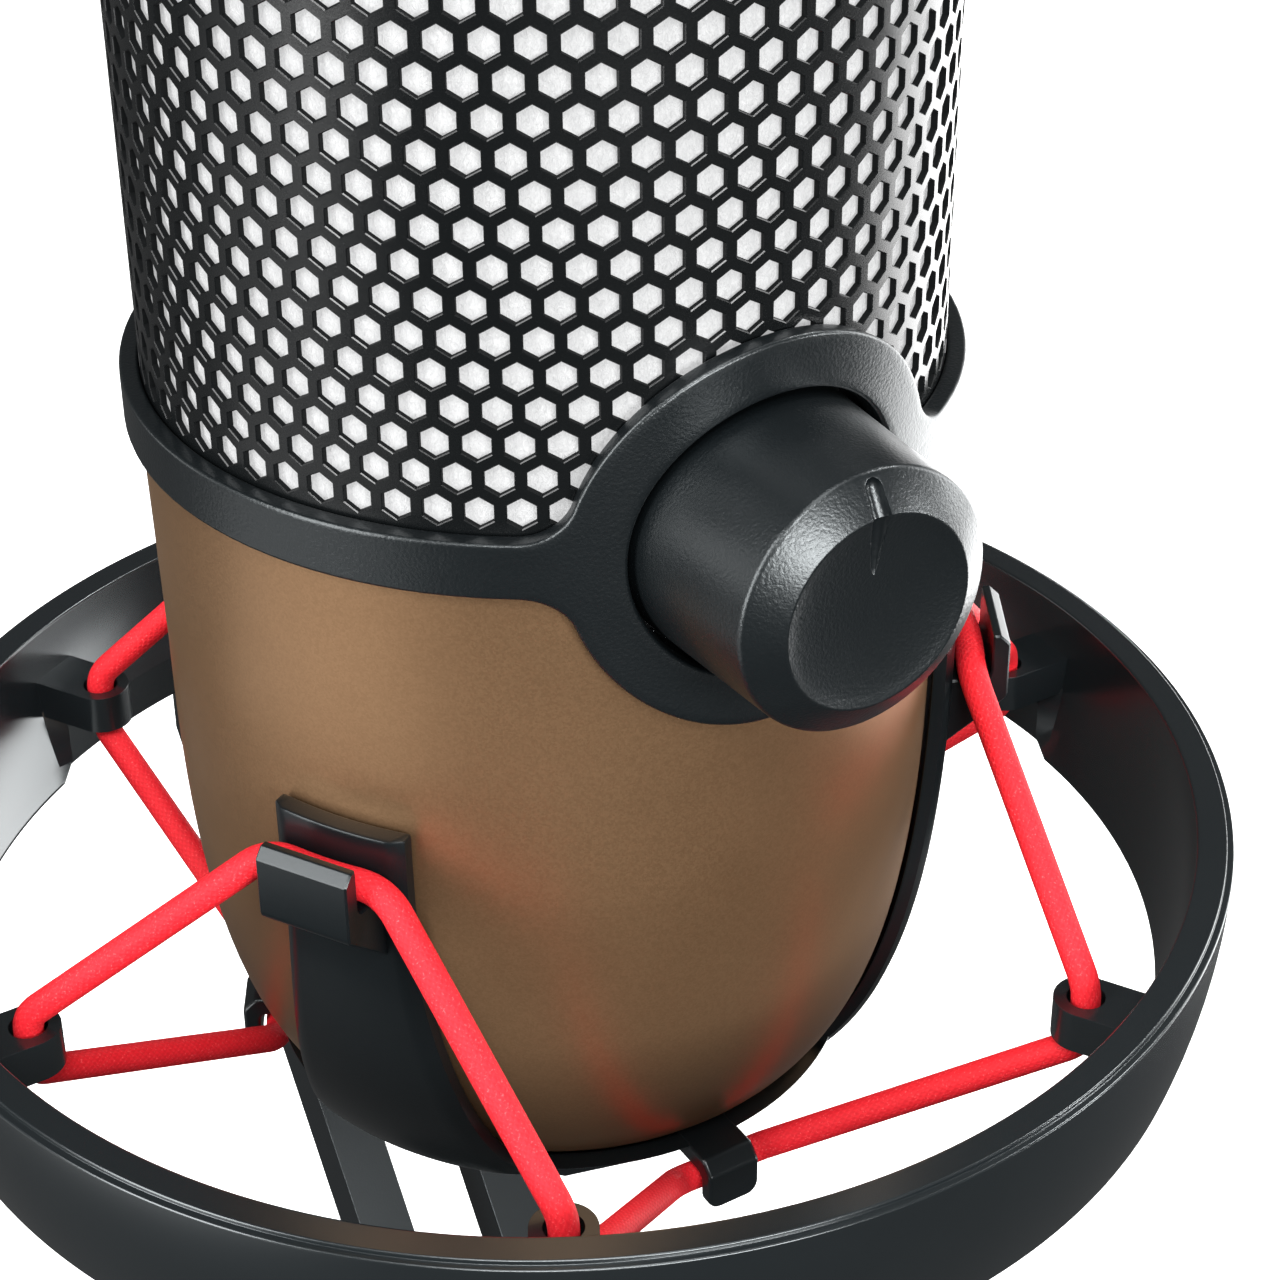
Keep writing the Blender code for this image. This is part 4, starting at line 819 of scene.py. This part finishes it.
def makeKnob():
    s = knobShape
    steps, roof = s["dishSteps"], s["back"] + s["hollow"]
    dish = [(s["dish"] * k / steps, dishDepth(s["dish"] * k / steps)) for k in range(steps)]
    line = [(0, roof), (s["backRadius"] - s["hollowIn"], roof, 0.5), (s["backRadius"] - s["skirt"], s["back"], 0.2),
            (s["backRadius"], s["back"], 0.3), (s["edgeRadius"], s["edge"], 0.35), (s["dish"], s["face"], 0.14)]
    line += dish[::-1]
    knob = spun("gainKnob", eased(line, 4, closed=False), 160)
    slope = (s["face"] - s["edge"]) / (s["edgeRadius"] - s["dish"])
    path, radii = [], []
    for k in range(9):                              # rounded outer end on the chamfer
        a = (pi / 2) * k / 8
        r = s["grooveFrom"] - s["grooveHalf"] * (1 - cos(a))
        path.append((0, r, s["face"] - (r - s["dish"]) * slope + 0.1))
        radii.append(max(0.03, s["grooveHalf"] * sin(a)))
    for k in range(1, 13):                          # then over the edge and thinning out in the dish
        t = k / 12
        r = s["dish"] + 0.4 + (s["grooveTo"] - s["dish"] - 0.4) * t
        lift = 0.1 + 0.05 * t
        surface = dishDepth(min(r, s["dish"])) if r < s["dish"] else s["face"]
        path.append((0, r, surface + lift))
        radii.append(s["grooveHalf"] * (1 - t) ** 0.7 * 0.95 + 0.16)
    groove = cleaned(swept("groove", path, radii, 24))
    edged(carved(knob, groove), s["lip"], 2, 40)
    knob.rotation_euler = (pi / 2, 0, 0)
    return settled(knob, rimHeight + s["axis"], smooth=24, even=False)


placed(makeKnob(), "control", charcoal, "gain_knob", slot="charcoal")
print("knob turned")


# punched grille, foam liner and top cap

grilleShape = {"radius": 32.0, "sheet": 0.55, "columns": 66, "rowStep": 2.698, "lowRow": 46.556, "rowPairs": 13,
               "hole": 0.70, "firstColumn": -35.83, "bottom": 42.6, "top": 121.0, "pocket": 12.6, "edge": 0.075}
foamShape = {"radius": 31.25, "wall": 2.1, "bottom": 42.6, "top": 116.7, "rowStep": 2, "swell": 0.08,
             "swellSize": 1.6, "pocket": 12.5}
capShape = {"radius": 32.4, "brim": 121.3, "top": 126.8, "round": 4.5, "shoulder": 9, "plug": 30.8,
            "plugInner": 28.8, "plugDepth": 4, "roof": 1.5}


def makeGrille():
    s = grilleShape
    pitch = 2 * pi * s["radius"] / s["columns"]
    bpy.ops.object.select_all(action="DESELECT")
    bpy.ops.mesh.primitive_circle_add(vertices=6, radius=pitch / sqrt(3), fill_type="NGON", rotation=(pi / 2, 0, 0))
    grille = named("hexGrille")
    bpy.ops.object.transform_apply(location=False, rotation=True, scale=False)
    edit(grille)
    bpy.ops.mesh.select_mode(type="FACE")
    bpy.ops.mesh.select_all(action="SELECT")
    bpy.ops.mesh.inset(thickness=pitch / 2 * (1 - s["hole"]))
    bpy.ops.mesh.delete(type="FACE")
    bpy.ops.mesh.select_all(action="SELECT")
    bpy.ops.transform.resize(value=(1, 1, s["rowStep"] / (pitch * sqrt(3) / 2)), center_override=(0, 0, 0))
    leave()
    merge = {"use_relative_offset": False, "use_constant_offset": True, "use_merge_vertices": True,
             "merge_threshold": 0.01}
    applied(grille, "ARRAY", count=s["columns"], constant_offset_displace=(pitch, 0, 0), **merge)
    applied(grille, "ARRAY", count=2, constant_offset_displace=(pitch / 2, 0, s["rowStep"]), **merge)
    applied(grille, "ARRAY", count=s["rowPairs"], constant_offset_displace=(0, 0, 2 * s["rowStep"]), **merge)
    for v in grille.data.vertices:                  # rolled into a tube
        azimuth = s["firstColumn"] + 360 * (v.co.x / pitch + 0.5) / s["columns"]
        v.co = onRound(azimuth, s["radius"], s["lowRow"] + v.co.z)
    cleaned(grille)
    middle = (s["bottom"] + s["top"]) / 2
    for level, low in ((s["bottom"], True), (s["top"], False)):     # plain margins
        used = {}
        for face in grille.data.polygons:
            for key in face.edge_keys:
                used[key] = used.get(key, 0) + 1

        def onRim(e):                               # a long edge with one face only
            a, b = (grille.data.vertices[v].co for v in e.vertices)
            rimEdge = used.get(tuple(sorted(e.vertices)), 0) == 1 and (a - b).length > pitch * 0.5
            return rimEdge and ((a.z + b.z) / 2 < middle) == low

        picked(grille, "EDGE", "edges", onRim)
        bpy.ops.mesh.extrude_region_move(TRANSFORM_OT_translate={"value": (0, 0, 0)})
        bpy.ops.transform.resize(value=(1, 1, 0), center_override=(0, 0, level))
        leave()
    axis = knobShape["axis"]
    pickFaces(grille, lambda f: f.center.y < 0 and hypot(f.center.x, f.center.z - axis) < s["pocket"])
    bpy.ops.mesh.delete(type="FACE")
    leave()
    facingOut(cleaned(grille))
    applied(grille, "SOLIDIFY", thickness=s["sheet"], offset=-1)
    edged(grille, s["edge"], 1, 70)
    grille.data.materials.append(grilleBlack)
    grille.data.materials.append(holeBlack)
    for face in grille.data.polygons:               # the walls of the holes stay matt
        face.material_index = int(face.normal.dot(Vector((face.center.x, face.center.y, 0)).normalized()) < 0.5)
    return settled(grille, smooth=25, even=False)


def makeFoam():
    s = foamShape
    line = [(s["radius"], s["bottom"], 0.5)]
    inner, step = s["radius"] - s["wall"], s["rowStep"]
    line += [(s["radius"], s["bottom"] + k) for k in range(step, int(s["top"] - s["bottom"]) - 1, step)]
    line += [(s["radius"], s["top"], 0.6), (inner, s["top"], 0.6), (inner, s["bottom"], 0.5)]
    foam = spun("foamLiner", eased(line), 160)
    moves = bpy.data.textures.new("feltSwell", "CLOUDS")
    moves.noise_scale = s["swellSize"]
    applied(foam, "DISPLACE", texture=moves, strength=s["swell"], mid_level=0.6, texture_coords="LOCAL")
    carved(foam, knobPocket("foamPocket", s["pocket"], 64))
    return settled(foam, smooth=40, even=False)


def makeCap():
    s = capShape
    foot, roof = s["brim"] - s["plugDepth"], s["brim"] + s["roof"]
    line = [(0, s["top"]), (s["radius"] - s["shoulder"], s["top"]), (s["radius"], s["top"], s["round"]),
            (s["radius"], s["brim"], 0.35), (s["plug"], s["brim"], 0.2), (s["plug"], foot, 0.2),
            (s["plugInner"], foot, 0.2), (s["plugInner"], roof, 0.4), (0, roof)]
    return settled(spun("topCap", eased(line, 8, closed=False), 160))


placed(makeGrille(), "microphone", None, "grille", slot="grille_black")
foam = makeFoam()
placed(foam, "microphone", felt, "foam_liner", slot="white_foam")
placed(makeCap(), "microphone", baseBlack, "top_cap", slot="charcoal")
print("grille rolled, foam and cap in place")


# round base on its rubber pad

baseShape = {"radius": 52.5, "low": 2.3, "top": 14.0, "shoulder": 4.5, "rimBand": 12, "wall": 1.8, "roof": 3.5}
padShape = {"radius": 51.5, "height": 2.0, "grooves": (46, 38, 30, 22, 14), "grooveHalf": 0.9, "grooveFloor": 0.6,
            "grooveDepth": 0.5, "grooveEdge": 0.12}


def makeBase():
    s = baseShape
    inner, ceiling = s["radius"] - s["wall"], s["top"] - s["roof"]
    line = [(0, s["top"]), (s["radius"] - s["rimBand"], s["top"]), (s["radius"], s["top"], s["shoulder"]),
            (s["radius"], s["low"], 0.4), (inner, s["low"], 0.3), (inner, ceiling, s["shoulder"]), (0, ceiling)]
    return settled(spun("baseCover", eased(line, 8, closed=False), 192), lift=0)


def makePad():
    s = padShape
    line = [(0, s["height"]), (s["radius"], s["height"], 0.3), (s["radius"], 0, 0.5)]
    half, floor, deep, edge = s["grooveHalf"], s["grooveFloor"], s["grooveDepth"], s["grooveEdge"]
    for r in s["grooves"]:                          # rings that grip the table
        line += [(r + half, 0, edge), (r + floor, deep, edge), (r - floor, deep, edge), (r - half, 0, edge)]
    line.append((0, 0))
    return settled(spun("rubberPad", eased(line, 3, closed=False), 160), lift=0)


placed(makeBase(), "base", baseBlack, "base_cover", slot="base_black")
placed(makePad(), "base", rubber, "base_foot_pad", slot="rubber")
print("base done")


# tilting joint: bracket, bolt and lock knob

bracketShape = {"halfWidth": 16.8, "halfDepth": 12.0, "low": 14.3, "thick": 3.0, "corner": 3.0, "earIn": 6.3,
                "earOut": 10.3, "earSteps": 24, "pivot": 34.0, "round": 8.0, "bore": 2.8, "edge": 0.5}
boltShape = {"seat": 10.6, "head": 5.0, "headLength": 3.4, "shank": 2.5, "end": 27.7, "socket": 2.4,
             "socketDepth": 1.7}
lockShape = {"from": 10.6, "neck": 2.0, "neckRadius": 6.0, "length": 11.0, "radius": 9.5, "crown": 1.6, "dish": 4.6,
             "dishFloor": 4.4, "dishDepth": 0.5, "flutes": 8, "fluteRadius": 2.2, "fluteDepth": 1.1}
screwShape = {"head": 2.8, "height": 2.0, "shank": 1.5, "socket": 1.45, "socketDepth": 1.1, "bracketLength": 8.0,
              "bracketAt": ((-13.7, 0, 17.6), (13.7, 0, 17.6)), "armLength": 6.4,
              "armAt": ((-6.0, 55.6, -8.0), (6.0, 55.6, -8.0))}


def makeBracket():
    s = bracketShape
    bpy.ops.object.select_all(action="DESELECT")
    bpy.ops.mesh.primitive_cube_add(size=1, location=(0, 0, s["low"] + s["thick"] / 2),
                                    scale=(2 * s["halfWidth"], 2 * s["halfDepth"], s["thick"]))
    flange = named("pivotBracket")
    bpy.ops.object.transform_apply(location=True, rotation=True, scale=True)
    pickEdges(flange, lambda a, b: abs(a.z - b.z) > 1)      # the four upright corners
    bpy.ops.mesh.bevel(offset=s["corner"], segments=6, affect="EDGES")
    leave()
    edged(flange, s["edge"], 3, 50)
    line = [(-s["round"], s["low"] + 1), (s["round"], s["low"] + 1)]
    turns = [pi * k / s["earSteps"] for k in range(s["earSteps"] + 1)]
    line += [(s["round"] * cos(a), s["pivot"] + s["round"] * sin(a)) for a in turns]
    half = (s["earOut"] - s["earIn"]) / 2
    ear = slabOf("ear", line, -half, half)
    carved(ear, moved(rod("earBore", s["bore"], -10, 10), turn=(90, 0, 0), place=(0, 0, s["pivot"])))
    edged(ear, s["edge"], 3, 50)
    moved(ear, turn=(0, 0, 90))
    middle = (s["earIn"] + s["earOut"]) / 2
    for side in (-1, 1):
        carved(flange, moved(twin(ear, "ear%d" % side), place=(side * middle, 0, 0)), "UNION")
    bpy.data.objects.remove(ear)
    return settled(flange, lift=0)


def makeBolt():
    s = boltShape
    line = [(0, -s["end"]), (s["shank"], -s["end"], 0.4), (s["shank"], 0), (s["head"], 0, 0.25),
            (s["head"], s["headLength"], 0.8), (0, s["headLength"])]
    bolt = spun("pivotBolt", eased(line, 4, closed=False), 64)
    carved(bolt, rod("boltSocket", s["socket"], s["headLength"] - s["socketDepth"], s["headLength"] + 1, 6))
    moved(bolt, turn=(0, -90, 0), place=(-s["seat"], 0, bracketShape["pivot"]))
    return settled(bolt, lift=0, smooth=30)


def makeLockKnob():
    s = lockShape
    line = [(0, 0), (s["neckRadius"], 0, 0.3), (s["neckRadius"], s["neck"], 0.3), (s["radius"], s["neck"], 0.7),
            (s["radius"], s["length"] - s["crown"], 0.5), (s["radius"] - s["crown"], s["length"], 0.5),
            (s["dish"], s["length"], 0.15), (s["dishFloor"], s["length"] - s["dishDepth"], 0.15),
            (0, s["length"] - s["dishDepth"])]
    knob = spun("lockKnob", eased(line, 4, closed=False), 128)
    for k in range(s["flutes"]):
        a = 2 * pi * (k + 0.5) / s["flutes"]
        away = s["radius"] + s["fluteRadius"] - s["fluteDepth"]
        carved(knob, moved(rod("flute", s["fluteRadius"], s["neck"] - 1, s["length"] + 1, 32),
                           place=(away * cos(a), away * sin(a), 0)))
    moved(knob, turn=(0, 90, 0), place=(s["from"], 0, bracketShape["pivot"]))
    return settled(knob, lift=0, smooth=30)


def makeScrew(name, length):
    s = screwShape
    line = [(0, -length), (s["shank"], -length, 0.4), (s["shank"], 0), (s["head"], 0, 0.2),
            (s["head"], s["height"], 0.9), (0, s["height"])]
    screw = spun(name, eased(line, 4, closed=False), 48)
    return carved(screw, rod("screwSocket", s["socket"], s["height"] - s["socketDepth"], s["height"] + 1, 6))


placed(makeBracket(), "base", lockPlastic, "pivot_bracket", slot="base_black")
placed(makeBolt(), "base", blackSteel, "pivot_bolt", slot="steel")
placed(makeLockKnob(), "lock_knob", lockPlastic, "tilt_lock_knob", slot="lock_plastic")
for i, place in enumerate(screwShape["bracketAt"], 1):
    screw = settled(moved(makeScrew("bracketScrew%d" % i, screwShape["bracketLength"]), place=place), lift=0)
    placed(screw, "base", blackSteel, "bracket_screw_%d" % i, slot="zinc")
for i, place in enumerate(screwShape["armAt"], 1):
    screw = settled(moved(makeScrew("armScrew%d" % i, screwShape["armLength"]), turn=(90, 0, 0), place=place))
    placed(screw, "arm", blackSteel, "arm_screw_%d" % i, slot="zinc")
print("tilting joint done")


# sloping arm and the pieces under the microphone: the solids' own shapes with rounded edges

def softCopy(node, name, width, steps=3, angle=35):
    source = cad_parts[node]
    obj = bpy.data.objects.new(name, source.data.copy())
    bpy.context.collection.objects.link(obj)
    obj.data.transform(Matrix.Scale(1000, 4) @ source.matrix_world)
    only(obj)
    bpy.ops.mesh.customdata_custom_splitnormals_clear()
    edit(obj)
    bpy.ops.mesh.select_all(action="SELECT")
    bpy.ops.mesh.remove_doubles(threshold=0.001)
    bpy.ops.mesh.dissolve_limited(angle_limit=radians(2))
    leave()
    return settled(edged(obj, width, steps, angle), lift=0)


bottomShape = {"plate": 17.7, "plateTop": -21.06, "mouth": -23.86, "boss": 10.8, "bossFoot": -33.26, "inlet": 7.8,
               "inletFloor": -27.06}
socketShape = {"half": 4.5, "deep": 1.65, "wall": 0.35, "low": -26.76, "top": -17.96, "pocket": 5.0, "slack": 0.25,
               "tongueIn": 1.2, "tongueDeep": 0.36, "tongueLow": 0.6, "tongueRoot": 0.5}


def makeBottomCap():
    s, plug = bottomShape, socketShape
    line = [(0, s["plateTop"]), (s["plate"], s["plateTop"], 0.2), (s["plate"], s["mouth"], 0.2),
            (s["boss"], s["mouth"], 0.4), (s["boss"], s["bossFoot"], 0.9), (s["inlet"], s["bossFoot"], 0.7),
            (s["inlet"], s["inletFloor"], 0.5), (0, s["inletFloor"])]
    cap = spun("bottomCap", eased(line, 4, closed=False), 96)
    half, deep = plug["half"] + plug["slack"], plug["deep"] + plug["slack"]
    hole = stadium("socketHole", half, deep, s["inletFloor"] - 1, s["plateTop"] + 1)
    return settled(carved(cap, hole), smooth=30)


def stadium(name, half, deep, low, high):           # an upright bar with rounded ends
    r = deep * 0.98
    line = eased([(-half, -deep, r), (half, -deep, r), (half, deep, r), (-half, deep, r)], 6)
    return moved(slabOf(name, line, -high, -low), turn=(-90, 0, 0))


def makeSocket():
    s = socketShape
    socket = stadium("cableSocket", s["half"], s["deep"], s["low"], s["top"])
    floor = s["low"] + s["pocket"]
    carved(socket, stadium("socketMouth", s["half"] - s["wall"], s["deep"] - s["wall"], s["low"] - 1, floor))
    tongue = stadium("socketTongue", s["half"] - s["tongueIn"], s["tongueDeep"], s["low"] + s["tongueLow"],
                     floor + s["tongueRoot"])
    return settled(carved(socket, tongue, "UNION"), smooth=30)


placed(softCopy("stand_arm", "standArm", 1.1, 4), "arm", cradlePlastic, "stand_arm", slot="base_black")
placed(softCopy("cradle_nut", "cradleNut", 0.5), "microphone", charcoal, "cradle_nut", slot="charcoal")
placed(makeBottomCap(), "microphone", charcoal, "bottom_cap", slot="charcoal")
placed(makeSocket(), "microphone", steel, "usb_socket", slot="steel")
print("arm and underside done")


# what stays as the solids are, with its own finish

carried = ((zinc, ("base_weight",)),
           (steel, ("base_screw_1", "base_screw_2", "base_screw_3", "board_screw_1", "board_screw_2",
                    "board_screw_3", "control_nut")),
           (boardGreen, ("usb_board", "main_board")),
           (frameBlack, ("inner_frame", "potentiometer", "capsule_holder")),
           (brass, ("control_shaft", "capsule_body", "capsule_front_plate", "capsule_rear_plate")))

for finish, names in carried:
    for name in names:
        placed(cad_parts[name], None, finish)
print("inner pieces finished")


# white floor and studio light

studio = {"floor": 0.9, "floorGlow": 0.93, "floorSize": 12, "sky": 0.10,      # lights: place, aim, size, power
          "lights": (("cardRight", (0.445, 0.17, 0.006), (0.445, 0.17, 1.0), (0.41, 0.6), 5.2),
                     ("cardLeft", (-0.54, 0.145, 0.006), (-0.54, 0.145, 1.0), (0.34, 0.34), 0.2),
                     ("cardNearLeft", (-0.26, 0.03, 0.006), (-0.26, 0.03, 1.0), (0.14, 0.30), 0.12),
                     ("wallRight", (0.705, 0.257, 0.11), (0, 0, 0.16), (1.2, 0.3), 2.8),
                     ("wallLeft", (-0.54, 0.52, 0.25), (0, 0, 0.19), (0.3, 0.3), 0.55),
                     ("sideLeft", (-0.70, -0.05, 0.25), (0, 0, 0.17), (0.3, 0.5), 4.6),
                     ("sideRight", (0.80, -0.10, 0.30), (0, 0, 0.17), (0.3, 0.5), 3.6),
                     ("overhead", (-0.06, -0.10, 0.80), (0, 0, 0.19), (0.3, 0.3), 1.4),
                     ("frontSoft", (-0.08, -0.62, 0.33), (0, 0, 0.19), (0.30, 0.20), 4.9),
                     ("frontRight", (0.46, -0.42, 0.22), (0, 0, 0.16), (0.1, 0.1), 1.3),
                     ("keyLeft", (-0.30, -0.48, 0.78), (0, 0, 0.17), (0.3, 0.2), 4.9),
                     ("leftHigh", (-0.62, 0.02, 0.62), (0, 0, 0.17), (0.4, 0.25), 3.2),
                     ("rightHigh", (0.60, 0.0, 0.85), (0, 0, 0.15), (0.15, 0.15), 2.4))}


def makeStudio():
    s = studio
    bpy.ops.object.select_all(action="DESELECT")
    bpy.ops.mesh.primitive_plane_add(size=s["floorSize"])
    floor = named("floor")
    bpy.ops.object.select_all(action="DESELECT")
    bpy.ops.mesh.primitive_uv_sphere_add(radius=s["floorSize"] / 2, segments=48, ring_count=24)
    backdrop = named("backdrop")
    backdrop.visible_shadow = False
    look = Look("paleFloor")
    grey = look.mixed(look.grain(3, 2.0), (s["floor"],) * 3 + (1,), (s["floor"] * 0.98,) * 3 + (1,))
    look.done(Base_Color=grey, Roughness=0.9, Specular_IOR_Level=0.1, Emission_Color=(1, 1, 1, 1),
              Emission_Strength=s["floorGlow"])
    for sheet in (floor, backdrop):
        sheet.data.materials.append(look.material)
        sheet.visible_glossy = sheet.visible_diffuse = False    # white to the eye, no glare underneath
    for name, place, aim, size, power in s["lights"]:
        lamp = bpy.data.lights.new(name, "AREA")
        lamp.shape, lamp.size, lamp.size_y, lamp.energy = "RECTANGLE", size[0], size[1], power
        obj = bpy.data.objects.new(name, lamp)
        bpy.context.collection.objects.link(obj)
        obj.location = place
        obj.rotation_euler = (Vector(aim) - Vector(place)).to_track_quat("-Z", "Y").to_euler()
        obj.visible_camera = False
    world = bpy.data.worlds.new("studioSky")
    bpy.context.scene.world = world
    world.use_nodes = True
    sky = world.node_tree.nodes["Background"]
    sky.inputs["Color"].default_value = (1, 1, 1, 1)
    sky.inputs["Strength"].default_value = s["sky"]
    bpy.context.scene.view_settings.view_transform = "Standard"


makeStudio()
print("studio lit")
